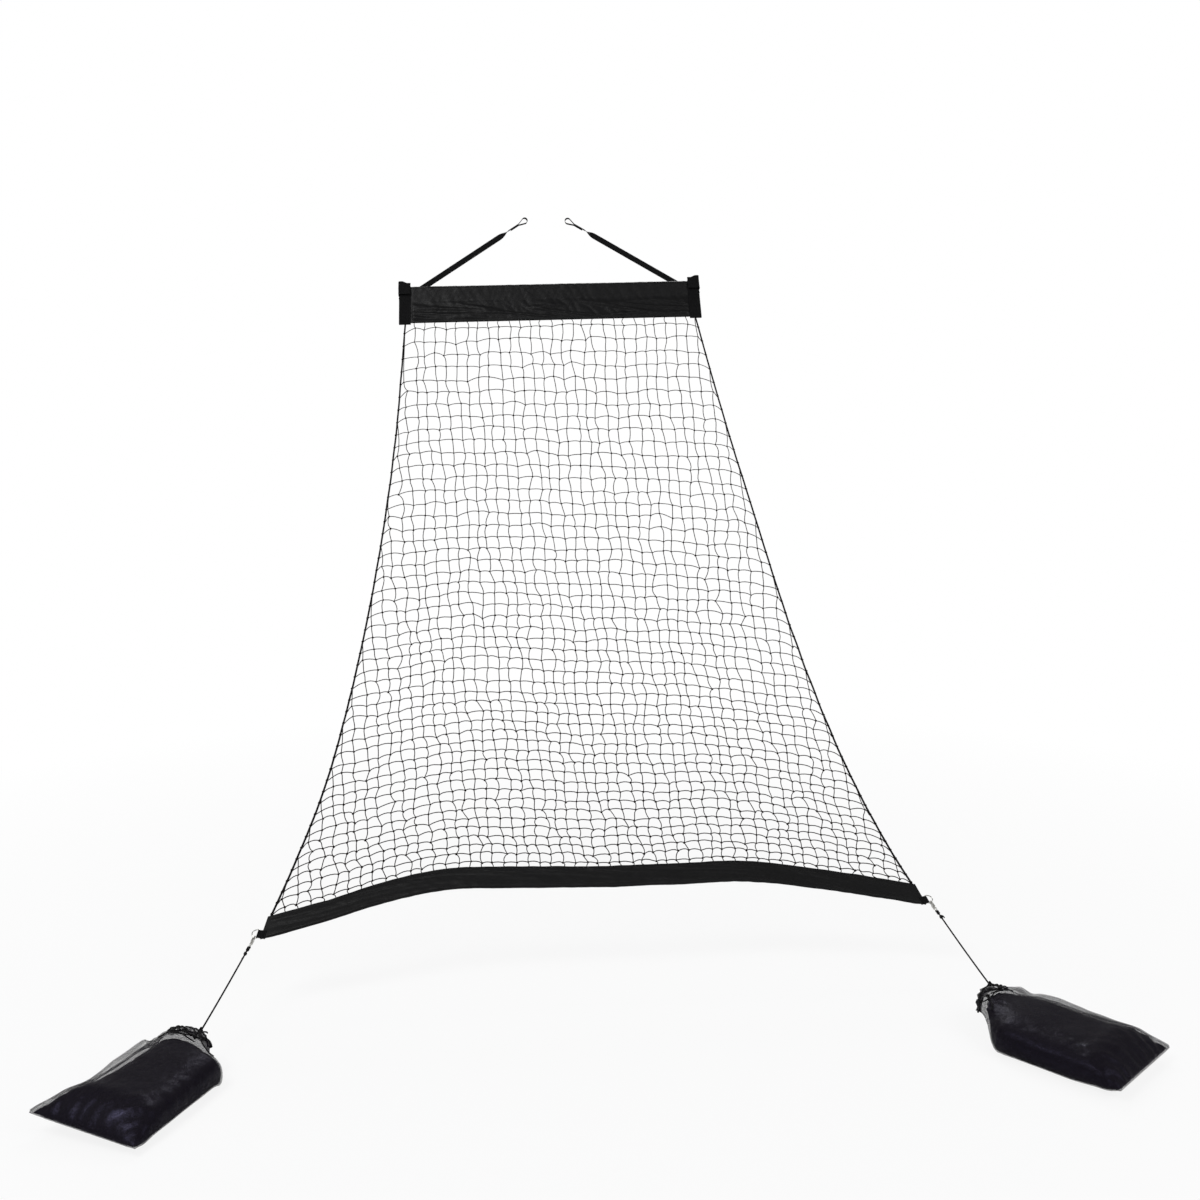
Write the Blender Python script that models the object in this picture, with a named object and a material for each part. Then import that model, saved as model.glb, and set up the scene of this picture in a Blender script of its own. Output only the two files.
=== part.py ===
"""Basketball return net: a sloping net hung from a rim and held out by two sand bags.

Metres, +Z up. The shooter stands at -Y. The origin lies midway between the two strap loops,
at the height of the rim rod that they go round.
"""
import math

import bmesh
import bpy
from mathutils import Matrix, Vector
from mathutils.geometry import delaunay_2d_cdt

MM = 0.001
DEG = math.pi / 180.0
GAP = 0.3 * MM
FIT = 0.5 * MM
OVERRUN = 1.0 * MM

# The rim that carries the object, and the floor under it
RIM_HEIGHT = 2.72
RIM_ROD = 18.0 * MM
HANG_SPAN = 0.19

# Bar, its ferrule and its caps
BAR_DROP = 0.300
BAR_FORWARD = 0.080
BAR_TILT = 1.36 * DEG
BAR_SHIFT = 0.0125
BAR_DIAMETER = 25.0 * MM
BAR_WALL = 1.5 * MM
BAR_MEETING_GAP = 1.0 * MM
FERRULE_LENGTH = 160.0 * MM
CAP_WALL = 2.0 * MM
CAP_LENGTH = 22.0 * MM

# Sleeve, end panels and closing straps
SLEEVE_LENGTH = 1.30
SLEEVE_HEIGHT = 0.175
SLEEVE_PITCH = 66.0 * DEG
CLOTH = 1.0 * MM
SLOT = 3.4 * MM
SLEEVE_TAPER = 60.0 * MM
WEBBING = 1.6 * MM
PANEL_WIDTH = 50.0 * MM
PANEL_OVERHANG = 6.0 * MM
CLOSER_HEIGHT = 54.0 * MM
CLOSER_REACH = 50.0 * MM
CLOSER_RISE = 13.0 * MM
PATCH = 1.0 * MM
PATCH_MARGIN = 2.0 * MM

# Hanging straps
STRAP_WIDTH = 25.0 * MM
STRAP_INSET = 72.0 * MM
STRAP_SPAN = SLEEVE_LENGTH - 2.0 * STRAP_INSET
STRAP_TAIL = 42.0 * MM
STRAP_OVERLAP = 80.0 * MM
STRAP_END = 74.0 * MM
STRAP_CLOSED = 32.0 * MM
STRAP_TWIST = 60.0 * MM
STRAP_CORNER_STEPS = 6
STRAP_RUN_STEPS = 3
STRAP_TWIST_STEPS = 12
STRAP_LOOP_STEPS = 14
LOOP_PLAY = 2.2 * MM

# Net and its side ropes
ROPE_DIAMETER = 7.0 * MM
ROPE_INSET = 27.0 * MM
ROPE_FOOT = 9.0 * MM
NET_TWINE = 4.5 * MM
NET_THICKNESS = 2.4 * MM
NET_ENTRY = 8.0 * MM
NET_ROWS = 18
TOP_MESH = 0.1385
HEM_MESH = 0.124
LEAST_GAP = 20.0 * MM
LEFT_ROPE_SHARES = ((0.0, 0.0), (0.18, 0.075), (0.34, 0.187), (0.55, 0.38), (0.77, 0.63), (0.90, 0.835),
                    (1.0, 1.0))
RIGHT_ROPE_SHARES = ((0.0, 0.0), (0.15, 0.17), (0.29, 0.325), (0.48, 0.505), (0.73, 0.74), (0.89, 0.895),
                     (1.0, 1.0))

# Hem: a flat band that arches between its two lower corners
HEM_SPAN = 2.143
HEM_SHIFT = 0.1245
HEM_FORWARD = 1.5715
HEM_SKEW = 0.103
HEM_RISE = 0.215
HEM_HEIGHT = 77.0 * MM
HEM_SLANT = 15.0 * MM
HEM_PITCH = 36.0 * DEG
HEM_ARCH = 0.140
HEM_STATIONS = 20
HEM_CORD = 5.0 * MM
ARCH_SHARES = ((0.0, 0.0), (0.09, 0.37), (0.17, 0.76), (0.26, 1.03), (0.38, 1.0), (0.5, 0.91), (0.62, 0.89),
               (0.74, 0.86), (0.84, 0.58), (0.93, 0.27), (1.0, 0.0))

# Corner tabs and D-rings
TAB_WIDTH = 24.0 * MM
TAB_REACH = 12.0 * MM
RING_WIRE = 3.2 * MM
RING_HALF = 14.6 * MM
RING_DEPTH = 19.0 * MM
RING_CONTACT = 69.0 * DEG
RING_FOOT = 17.0 * MM

# Snap hooks: the ring's wire passes at the hook's own origin, and the line leaves along -Z
HOOK_ROD = 3.6 * MM
HOOK_THROAT = 7.4 * MM
HOOK_PLAY = 0.9 * MM
BARREL_TOP = 9.5 * MM
BARREL_LENGTH = 16.0 * MM
BARREL_DEPTH = 6.8 * MM
BARREL_EDGE = 1.3 * MM
BOLT_DIAMETER = 2.8 * MM
BOLT_PLAY = 0.2 * MM
BOLT_TRAVEL = 4.5 * MM
BOLT_TAIL = 5.5 * MM
BORE_DEPTH = 13.5 * MM
KNOB_DIAMETER = 2.6 * MM
KNOB_REACH = 3.2 * MM
SPRING_WIRE = 0.36 * MM
SPRING_TURNS = 5
SWIVEL_STEM = 2.6 * MM
SWIVEL_HEAD = 4.4 * MM
SWIVEL_PLAY = 0.25 * MM
SWIVEL_FLOOR = 2.2 * MM
SWIVEL_HEAD_LENGTH = 2.0 * MM
SWIVEL_NECK = 1.5 * MM
EYE_RADIUS = 8.0 * MM
EYE_WIRE = 3.0 * MM

# Tension cords and their knots
CORD_DIAMETER = 5.0 * MM
KNOT_LENGTH = 12.0 * MM
KNOT_WIDTH = 10.5 * MM
KNOT_SPACING = 19.0 * MM
CORD_STEP = 2.8
CORD_SAG = 2.0 * MM
KNOT_LOOP = 4.0 * MM
KNOT_SIDES = 12
KNOT_TURN = 7.0 * DEG
KNOT_SHARES = ((-0.5, 0.48), (-0.26, 0.92), (0.0, 1.0), (0.26, 0.9), (0.5, 0.48))
CORD_SHARES = ((0.0, 0.0), (0.08, 0.29), (0.16, 0.54), (0.24, 0.73), (0.32, 0.87), (0.40, 0.96), (0.48, 1.0),
               (0.56, 0.99), (0.64, 0.92), (0.72, 0.81), (0.80, 0.64), (0.88, 0.42), (0.94, 0.23), (1.0, 0.0))

# Sand bags
MOUTH_HEIGHT = 0.100
BAG_LENGTH = 0.395
BAG_WIDTH = 0.330
BAG_THICKNESS = 0.106
SEAM_THICKNESS = 6.0 * MM
SEAM_LIFT = 24.0 * MM
MOUTH_WIDTH = 0.190
MOUTH_GAPE = 5.5 * MM
SACK_WALL = 1.0 * MM
POUCH_WALL = 1.2 * MM
POUCH_PLAY = 0.9 * MM
DRAWCORD = 4.0 * MM
MOUTH_HEM = 15.0 * MM
MOUTH_SPREAD = 1.5 * MM
DRAWCORD_PLAY = 0.3 * MM
RING_SIDES = 20
BAG_EQUATOR_SHARE = 0.42
BAG_SIDE_POWER = 0.6
BAG_TOP_POWER = 0.8
BAG_BASE_FLAT = 1.3
POUCH_NECK_SHARE = 0.03
POUCH_MOUTH_SHARE = 0.6
BAG_SHARES = ((0.03, 0.90, 0.06, 0.98), (0.10, 0.97, 0.0, 1.0), (0.25, 1.0, 0.0, 1.0), (0.45, 0.995, 0.0, 0.96),
              (0.65, 1.0, 0.0, 0.93), (0.80, 1.0, 0.0, 0.86), (0.90, 0.995, 0.0, 0.62), (0.96, 0.99, 0.08, 0.44))

# Where each side's line ends: the knot beyond the hem's corner, and how the bag lies behind it
SIDES = {
    "left": {"sign": -1.0, "knot_beyond": 0.094, "knot_ahead": 0.348, "bag_turn": 23.5 * DEG,
             "bag_offset": 0.030, "mouth_reach": 0.035},
    "right": {"sign": 1.0, "knot_beyond": 0.076, "knot_ahead": 0.349, "bag_turn": 40.5 * DEG,
              "bag_offset": 0.050, "mouth_reach": 0.090},
}

FLOOR = -RIM_HEIGHT
BAR_RADIUS = BAR_DIAMETER / 2.0
ROPE_RADIUS = ROPE_DIAMETER / 2.0
RING_RADIUS = RING_WIRE / 2.0
SLEEVE_INNER = BAR_RADIUS + FIT
SLEEVE_OUTER = SLEEVE_INNER + CLOTH
SLEEVE_BOTTOM = SLEEVE_OUTER - SLEEVE_HEIGHT
SLEEVE_HALF = SLEEVE_LENGTH / 2.0
SLEEVE_SKIN = SLOT / 2.0 + CLOTH
PANEL_INNER = SLEEVE_OUTER + GAP
PANEL_OUTER = PANEL_INNER + WEBBING
PANEL_SKIN = SLEEVE_SKIN + GAP
HEM_FOLD = HEM_CORD / 2.0 + FIT + CLOTH
CIRCLE_SIDES = 24
SMALL_SIDES = 16
WIRE_SIDES = 10
RING_STEPS = 14
CURL_POINTS = 8
TAB_STEPS = 10
HOOK_STEPS = 9
NUDGE = 0.01
LEAST_MESH = 0.1


def clear_scene():
    """Remove every object from the scene."""
    for item in list(bpy.data.objects):
        bpy.data.objects.remove(item, do_unlink=True)


def material(name, colour, roughness, metallic=0.0):
    """Return a Principled material with one colour."""
    made = bpy.data.materials.get(name)
    if made is None:
        made = bpy.data.materials.new(name)
        made.use_nodes = True
        shader = made.node_tree.nodes["Principled BSDF"]
        shader.inputs["Base Color"].default_value = (*colour, 1.0)
        shader.inputs["Roughness"].default_value = roughness
        shader.inputs["Metallic"].default_value = metallic
        made.diffuse_color = (*colour, 1.0)
    return made


def polyester():
    """Matt black woven polyester."""
    return material("black_polyester", (0.012, 0.012, 0.014), 0.62)


def webbing():
    """Black woven webbing."""
    return material("black_webbing", (0.008, 0.008, 0.009), 0.8)


def twine():
    """Black twisted twine and rope."""
    return material("black_twine", (0.012, 0.011, 0.011), 0.75)


def plated():
    """Nickel-plated hardware."""
    return material("plated_steel", (0.62, 0.61, 0.60), 0.28, 1.0)


def bar_metal():
    """Bare aluminium tube."""
    return material("bar_aluminium", (0.70, 0.70, 0.72), 0.35, 1.0)


def plastic():
    """Black moulded plastic."""
    return material("black_plastic", (0.014, 0.014, 0.015), 0.45)


def vinyl():
    """Glossy black vinyl."""
    return material("black_vinyl", (0.010, 0.010, 0.014), 0.25)


def mesh_cloth():
    """Fine black mesh cloth."""
    return material("black_mesh_cloth", (0.020, 0.018, 0.022), 0.7)


def sand():
    """Dry sand."""
    return material("dry_sand", (0.55, 0.42, 0.27), 0.95)


def add_empty(name, matrix, parent=None):
    """Add an empty that carries a frame."""
    empty = bpy.data.objects.new(name, None)
    bpy.context.scene.collection.objects.link(empty)
    empty.parent = parent
    empty.matrix_local = matrix
    return empty


def add_object(name, shape, finish, parent=None):
    """Turn a bmesh into a named object with its faces outwards."""
    bmesh.ops.recalc_face_normals(shape, faces=shape.faces)
    mesh = bpy.data.meshes.new(name)
    shape.to_mesh(mesh)
    shape.free()
    mesh.shade_smooth()
    mesh.set_sharp_from_angle(angle=35.0 * DEG)
    mesh.materials.append(finish)
    item = bpy.data.objects.new(name, mesh)
    bpy.context.scene.collection.objects.link(item)
    item.parent = parent
    return item


def add_tool(name, shape, parent):
    """Add a hidden shape that a Boolean reads."""
    item = add_object(name, shape, plated(), parent)
    item.hide_render = True
    item.display_type = "WIRE"
    return item


def combine(item, operation, *tools):
    """Join the tools to an item, or cut them out of it."""
    for tool in tools:
        step = item.modifiers.new(tool.name, "BOOLEAN")
        step.operation = operation
        step.solver = "EXACT"
        step.object = tool


def add_tube(name, points, diameter, finish, parent=None, resolution=2):
    """Add a round cord or wire along points."""
    curve = bpy.data.curves.new(name, "CURVE")
    curve.dimensions = "3D"
    curve.bevel_depth = diameter / 2.0
    curve.bevel_resolution = resolution
    curve.use_fill_caps = True
    spline = curve.splines.new("POLY")
    spline.points.add(len(points) - 1)
    for slot, point in zip(spline.points, points):
        slot.co = (*point, 1.0)
    curve.materials.append(finish)
    item = bpy.data.objects.new(name, curve)
    bpy.context.scene.collection.objects.link(item)
    item.parent = parent
    return item


def frame(origin, x_axis, y_axis, z_axis):
    """Return the matrix of a frame given by its axes."""
    turn = Matrix((x_axis, y_axis, z_axis)).transposed()
    return Matrix.Translation(origin) @ turn.to_4x4()


def loft(rings, closed=False, swap_at=None):
    """Join rings of equal counts into one body, capped at both ends or closed on itself.

    With swap_at, the sides are triangles, split on the other diagonal from that ring on.
    """
    shape = bmesh.new()
    rows = [[shape.verts.new(point) for point in ring] for ring in rings]
    pairs = list(zip(rows, rows[1:]))
    if closed:
        pairs.append((rows[-1], rows[0]))
    else:
        shape.faces.new(rows[0])
        shape.faces.new(rows[-1])
    for level, (low, high) in enumerate(pairs):
        for index in range(len(low)):
            after = (index + 1) % len(low)
            if swap_at is None:
                shape.faces.new((low[index], low[after], high[after], high[index]))
            elif level < swap_at:
                shape.faces.new((low[index], low[after], high[after]))
                shape.faces.new((low[index], high[after], high[index]))
            else:
                shape.faces.new((low[index], low[after], high[index]))
                shape.faces.new((low[after], high[after], high[index]))
    return shape


def prism(outline, place, low, high):
    """Extrude a flat outline between two levels; place turns (a, b, level) into a point."""
    return loft([[place(a, b, level) for a, b in outline] for level in (low, high)])


def flat_place(x, y, z):
    """Place an (x, y) outline at a height."""
    return Vector((x, y, z))


def side_place(y, z, x):
    """Place a (y, z) outline at a level along X."""
    return Vector((x, y, z))


def arc(centre, radius, start, end, steps):
    """Return points along an arc in a plane."""
    return [(centre[0] + radius * math.cos(start + (end - start) * k / steps),
             centre[1] + radius * math.sin(start + (end - start) * k / steps)) for k in range(steps + 1)]


def ring_points(radius, sides):
    """Return the points of a full circle, the first one not repeated."""
    return arc((0.0, 0.0), radius, 0.0, 2.0 * math.pi, sides)[:-1]


def turned(profile, sides=CIRCLE_SIDES):
    """Turn a closed (radius, height) outline about the local Z axis."""
    rings = [[Vector((r * c, r * s, h)) for r, h in profile] for c, s in ring_points(1, sides)]
    return loft(rings, closed=True)


def pillar(radii, sides=SMALL_SIDES):
    """Stack circles given as (radius, height) into a solid round body."""
    return loft([[Vector((x, y, h)) for x, y in ring_points(r, sides)] for r, h in radii])


def torus(centre, major, minor, sides=SMALL_SIDES, edge_sides=8):
    """Return a ring in the XZ plane round a centre."""
    section = ring_points(minor, edge_sides)
    rings = []
    for c, s in ring_points(1, sides):
        rings.append([centre + Vector(((major + a) * c, b, (major + a) * s)) for a, b in section])
    return loft(rings, closed=True)


def share_at(table, share):
    """Read a smooth value from a table of shares."""
    knots = [row[0] for row in table]
    values = [row[1] for row in table]
    slopes = [(values[k + 1] - values[k]) / (knots[k + 1] - knots[k]) for k in range(len(knots) - 1)]
    tangents = [slopes[0]] + [(a + b) / 2.0 for a, b in zip(slopes, slopes[1:])] + [slopes[-1]]
    share = min(max(share, 0.0), 1.0)
    index = max(k for k in range(len(slopes)) if share >= knots[k])
    step = knots[index + 1] - knots[index]
    t = (share - knots[index]) / step
    return ((2 * t ** 3 - 3 * t ** 2 + 1) * values[index] + (t ** 3 - 2 * t ** 2 + t) * step * tangents[index]
            + (3 * t ** 2 - 2 * t ** 3) * values[index + 1] + (t ** 3 - t ** 2) * step * tangents[index + 1])


def bar_matrix():
    """Frame of the bar: X along it, -Z down the sleeve, Y towards the board."""
    place = Matrix.Translation((BAR_SHIFT, -BAR_FORWARD, -BAR_DROP))
    tilt = Matrix.Rotation(-BAR_TILT, 4, "Y")
    lean = Matrix.Rotation(SLEEVE_PITCH - 90.0 * DEG, 4, "X")
    return place @ tilt @ lean


def folded_outline(inner_radius, inner_half, wall, bottom, taper):
    """Return cloth folded over a round core: it tapers from the core to a narrow slot."""
    steps = 8
    outer = inner_radius + wall
    half = inner_half + wall
    slant = math.atan2(inner_radius - inner_half, taper)
    over = arc((0.0, 0.0), outer, -slant, math.pi + slant, steps)
    under = arc((0.0, 0.0), inner_radius, math.pi + slant, -slant, steps)
    front = [(-half, -taper), (-half, bottom), (-inner_half, bottom), (-inner_half, -taper)]
    back = [(inner_half, -taper), (inner_half, bottom)]
    return [(half, bottom), (half, -taper)] + over + front + under + back


def build_bar(bar):
    """Two tube halves, the ferrule inside their joint and a cap on each end."""
    seat = SLEEVE_HALF - GAP - CAP_WALL
    inner = BAR_RADIUS - BAR_WALL
    along = Matrix.Rotation(90.0 * DEG, 4, "Y")
    for name, sign in (("left", -1.0), ("right", 1.0)):
        near = sign * BAR_MEETING_GAP / 2.0
        far = sign * (seat - GAP)
        tube = turned([(BAR_RADIUS, near), (BAR_RADIUS, far), (inner, far), (inner, near)])
        tube.transform(along)
        add_object(f"top_bar_{name}", tube, bar_metal(), bar)
        plug = inner - GAP
        hollow = plug - CAP_WALL
        tip = sign * (seat + CAP_WALL)
        base = sign * seat
        root = sign * (seat - CAP_LENGTH)
        cap = turned([(BAR_RADIUS, base), (BAR_RADIUS, tip), (hollow, tip), (hollow, root), (plug, root),
                      (plug, base)])
        cap.transform(along)
        add_object(f"bar_cap_{name}", cap, plastic(), bar)
    outer = inner - GAP
    half = FERRULE_LENGTH / 2.0
    ferrule = turned([(outer, -half), (outer, half), (outer - BAR_WALL, half), (outer - BAR_WALL, -half)])
    ferrule.transform(along)
    add_object("bar_ferrule", ferrule, bar_metal(), bar)


def build_sleeve(bar):
    """Cloth folded over the bar, its end panels, and the closing strap round each end."""
    outline = folded_outline(SLEEVE_INNER, SLOT / 2.0, CLOTH, SLEEVE_BOTTOM, SLEEVE_TAPER)
    add_object("top_sleeve", prism(outline, side_place, -SLEEVE_HALF, SLEEVE_HALF), polyester(), bar)
    low = SLEEVE_BOTTOM - PANEL_OVERHANG
    outline = folded_outline(PANEL_INNER, PANEL_SKIN, WEBBING, low, SLEEVE_TAPER)
    for name, sign in (("left", -1.0), ("right", 1.0)):
        ends = (sign * SLEEVE_HALF, sign * (SLEEVE_HALF - PANEL_WIDTH))
        add_object(f"sleeve_end_panel_{name}", prism(outline, side_place, *ends), webbing(), bar)
        build_closer(bar, name, sign)


def build_closer(bar, name, sign):
    """A webbing flap from the sleeve's back corner round its end to a patch on its front."""
    end = SLEEVE_HALF + GAP
    axis = add_empty(f"closer_axis_{name}", Matrix.Translation((sign * end, PANEL_OUTER, 0.0)), bar)
    face = PANEL_OUTER + GAP + PATCH + GAP + PANEL_OUTER
    inner = SLEEVE_HALF - CLOSER_REACH - end
    skin = -face - WEBBING
    plan = [(0.0, 0.0), (WEBBING, 0.0), (WEBBING, skin), (inner, skin), (inner, -face), (0.0, -face)]
    top = SLEEVE_OUTER + CLOSER_RISE
    flap = prism([(sign * x, y) for x, y in plan], flat_place, top - CLOSER_HEIGHT, top)
    add_object(f"closing_strap_{name}", flap, webbing(), axis)
    near = SLEEVE_HALF - CLOSER_REACH + PATCH_MARGIN
    far = SLEEVE_HALF - PATCH_MARGIN
    back = -PANEL_OUTER - GAP
    plan = [(near, back), (far, back), (far, back - PATCH), (near, back - PATCH)]
    low = top - CLOSER_HEIGHT + PATCH_MARGIN
    patch = prism([(sign * x, y) for x, y in plan], flat_place, low, SLEEVE_INNER)
    add_object(f"closing_patch_{name}", patch, webbing(), bar)


def build_strap(bar, name, sign):
    """A hanging strap: sewn tail, straight run, twist, and a loop that closes on itself over the rim."""
    carrier = bar_matrix()
    into_bar = carrier.inverted()
    loop = into_bar @ Vector((sign * HANG_SPAN / 2.0, 0.0, 0.0))
    radius = PANEL_OUTER + GAP + WEBBING / 2.0
    slant = math.atan2(PANEL_INNER - PANEL_SKIN, SLEEVE_TAPER)
    reach = math.hypot(loop.y, loop.z)
    leave = math.atan2(loop.z, loop.y) - math.acos(radius / reach)
    run = math.sqrt(reach * reach - radius * radius)
    corner = radius * (leave + slant)
    ratio = (sign * STRAP_SPAN / 2.0 - loop.x) / (run + corner / 2.0)
    stations = []

    def station(y, z, travel, tangent_y, tangent_z):
        """Note the centre, the direction and the width direction at a travelled distance."""
        centre = Vector((loop.x + ratio * travel, y, z))
        direction = Vector((ratio, tangent_y, tangent_z)).normalized()
        normal = Vector((0.0, -tangent_z, tangent_y))
        turn = carrier.to_3x3()
        stations.append((carrier @ centre, turn @ direction, turn @ normal.cross(direction)))

    foot = (radius * math.cos(slant), -radius * math.sin(slant))
    tail = (foot[0] - STRAP_TAIL * math.sin(slant), foot[1] - STRAP_TAIL * math.cos(slant))
    station(*tail, run + corner + STRAP_TAIL, -math.sin(slant), -math.cos(slant))
    for k in range(STRAP_CORNER_STEPS + 1):
        angle = -slant + (leave + slant) * k / STRAP_CORNER_STEPS
        travel = run + radius * (leave - angle)
        c, s = math.cos(angle), math.sin(angle)
        station(radius * c, radius * s, travel, s, -c)
    down = stations[-1][1]
    face = stations[-1][2]
    centre = carrier @ loop
    rod = (Vector((0.0, 1, 0.0)) - down * down.y).normalized()
    rise = rod.cross(down)
    if rise.z < 0.0:
        rise = -rise
    turn = math.atan2(rod.dot(down.cross(face)), rod.dot(face))
    if abs(turn) > 90.0 * DEG:
        turn -= math.copysign(180.0 * DEG, turn)
    offset = GAP / 2.0 + PATCH + GAP + WEBBING / 2.0
    total = (stations[-1][0] - centre).length
    for k in range(1, STRAP_RUN_STEPS):
        far = total + (STRAP_OVERLAP + STRAP_TWIST - total) * k / STRAP_RUN_STEPS
        stations.append((centre + down * far, down, face))
    for k in range(STRAP_TWIST_STEPS + 1):
        share = k / STRAP_TWIST_STEPS
        ease = share * share * (3.0 - 2.0 * share)
        far = STRAP_OVERLAP + STRAP_TWIST * (1.0 - share)
        width = face * math.cos(turn * ease) + down.cross(face) * math.sin(turn * ease)
        stations.append((centre + down * far + rise * offset * ease, down, width))
    width = stations[-1][2]
    hoop = RIM_ROD / 2.0 + LOOP_PLAY + WEBBING / 2.0
    swing = math.asin(hoop / math.hypot(offset, STRAP_CLOSED)) - math.atan2(offset, STRAP_CLOSED)
    path = [(STRAP_CLOSED, offset)]
    path += arc((0.0, 0.0), hoop, 90.0 * DEG - swing, 270.0 * DEG + swing, STRAP_LOOP_STEPS)
    path += [(STRAP_CLOSED, -offset), (STRAP_END, -offset)]
    points = [centre + down * a + rise * b for a, b in path]
    before = [stations[-1][0]] + points[:-1]
    after = points[1:] + [points[-1]]
    for low, here, high in zip(before, points, after):
        stations.append((here, (low - high).normalized(), width))
    rings = []
    for point, direction, across in stations:
        normal = across.cross(direction).normalized() * WEBBING / 2.0
        side = across * STRAP_WIDTH / 2.0
        rings.append([point + side + normal, point - side + normal,
                      point - side - normal, point + side - normal])
    add_object(f"hanging_strap_{name}", loft(rings), webbing())
    near = STRAP_CLOSED + PATCH_MARGIN
    far = STRAP_END - PATCH_MARGIN
    reach = STRAP_WIDTH / 2.0 - PATCH_MARGIN
    for kind, low in (("loop", GAP / 2.0), ("hook", -GAP / 2.0 - PATCH)):
        high = low + PATCH
        section = [(near, low), (far, low), (far, high), (near, high)]
        rings = [[centre + down * a + rise * b + rod * c for a, b in section] for c in (-reach, reach)]
        add_object(f"strap_{kind}_patch_{name}", loft(rings), webbing())


def hem_matrix():
    """Frame of the hem: X along the chord of its lower corners, Y up the slope, Z its upper face."""
    chord = Vector((math.sqrt(HEM_SPAN ** 2 - HEM_SKEW ** 2), HEM_SKEW, 0.0))
    chord.normalize()
    slope = Vector((0.0, math.cos(HEM_PITCH), math.sin(HEM_PITCH)))
    slope = (slope - chord * slope.dot(chord)).normalized()
    return frame(Vector((HEM_SHIFT, -HEM_FORWARD, FLOOR + HEM_RISE)), chord, slope, chord.cross(slope))


def hem_point(share, up, out=0.0):
    """Return a point of the hem: share along it, height up from its lower edge, and height off its plane."""
    along = (share - 0.5) * HEM_SPAN + HEM_SLANT * (1.0 - 2.0 * share) * up / HEM_HEIGHT
    return hem_matrix() @ Vector((along, HEM_ARCH * share_at(ARCH_SHARES, share) + up, out))


def rope_foot_share(sign):
    """Return where along the hem a side rope ends."""
    inset = ROPE_FOOT / (HEM_SPAN - 2.0 * HEM_SLANT)
    return 0.5 + sign * (0.5 - inset)


def rope_point(name, share):
    """Return a point of a side rope's centre line, from the sleeve's mouth to the hem's."""
    sign = SIDES[name]["sign"]
    top = bar_matrix() @ Vector((sign * (SLEEVE_HALF - ROPE_INSET), 0.0, SLEEVE_BOTTOM))
    foot = hem_point(rope_foot_share(sign), HEM_HEIGHT)
    fall = (math.cos(SLEEVE_PITCH), math.sin(SLEEVE_PITCH))
    land = (math.cos(HEM_PITCH), math.sin(HEM_PITCH))
    forward, down = top.y - foot.y, top.z - foot.z
    reach = (forward * land[1] - down * land[0]) / (fall[0] * land[1] - fall[1] * land[0])
    middle = (top.y - reach * fall[0], top.z - reach * fall[1])
    back = 1.0 - share
    y, z = (back * back * a + 2.0 * back * share * b + share * share * c
            for a, b, c in ((top.y, middle[0], foot.y), (top.z, middle[1], foot.z)))
    table = LEFT_ROPE_SHARES if sign < 0.0 else RIGHT_ROPE_SHARES
    return Vector((top.x + (foot.x - top.x) * share_at(table, share), y, z))


def row_step():
    """Return the length of one row of the net along the slope."""
    points = [rope_point("left", k / NET_ROWS) for k in range(NET_ROWS + 1)]
    return sum((b - a).length for a, b in zip(points, points[1:])) / NET_ROWS


def net_point(across, down):
    """Return a point of the net between its four edges, from shares across it and down it."""
    top = [rope_point(name, 0.0) for name in SIDES]
    low = [hem_point(rope_foot_share(side["sign"]), HEM_HEIGHT) for side in SIDES.values()]
    low_share = [rope_foot_share(side["sign"]) for side in SIDES.values()]
    over = top[0].lerp(top[1], across)
    under = hem_point(low_share[0] + (low_share[1] - low_share[0]) * across, HEM_HEIGHT)
    sides = rope_point("left", down).lerp(rope_point("right", down), across)
    corners = top[0].lerp(top[1], across).lerp(low[0].lerp(low[1], across), down)
    return over.lerp(under, down) + sides - corners


def net_middle(row):
    """Return the middle column's X and the mesh width at a row."""
    share = min(max(row / NET_ROWS, 0.0), 1.0)
    return BAR_SHIFT + (HEM_SHIFT - BAR_SHIFT) * share, TOP_MESH + (HEM_MESH - TOP_MESH) * share


def net_limits(row, margin):
    """Return the first and last column at a row, a margin inside the side ropes."""
    share = min(max(row / NET_ROWS, 0.0), 1.0)
    middle, mesh = net_middle(row)
    half = 0.5 / NET_ROWS
    limits = []
    for name, side in SIDES.items():
        low, high = rope_point(name, max(share - half, 0.0)), rope_point(name, min(share + half, 1.0))
        drift = (high.x - low.x) / math.hypot(high.y - low.y, high.z - low.z)
        inside = margin * math.sqrt(1.0 + drift * drift)
        limits.append((rope_point(name, share).x - side["sign"] * inside - middle) / mesh)
    return limits


def net_place(column, row, depth):
    """Return a point of the net and the direction off its face; depth counts into the sleeve or the hem."""
    middle, mesh = net_middle(row)
    share = min(max(row / NET_ROWS, 0.0), 1.0)
    left, right = rope_point("left", share).x, rope_point("right", share).x
    across = (middle + column * mesh - left) / (right - left)
    if row <= 0.0:
        turn = bar_matrix().to_3x3()
        return net_point(across, 0.0) + turn @ Vector((0.0, 0.0, depth)), turn @ Vector((0.0, -1, 0.0))
    if row >= NET_ROWS:
        first, last = (rope_foot_share(side["sign"]) for side in SIDES.values())
        off = hem_matrix().to_3x3() @ Vector((0, 0, 1))
        return hem_point(first + (last - first) * across, HEM_HEIGHT - depth), off
    wide = net_point(across + NUDGE, share) - net_point(across - NUDGE, share)
    long = net_point(across, share + NUDGE) - net_point(across, share - NUDGE)
    return net_point(across, share), long.cross(wide).normalized()


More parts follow.
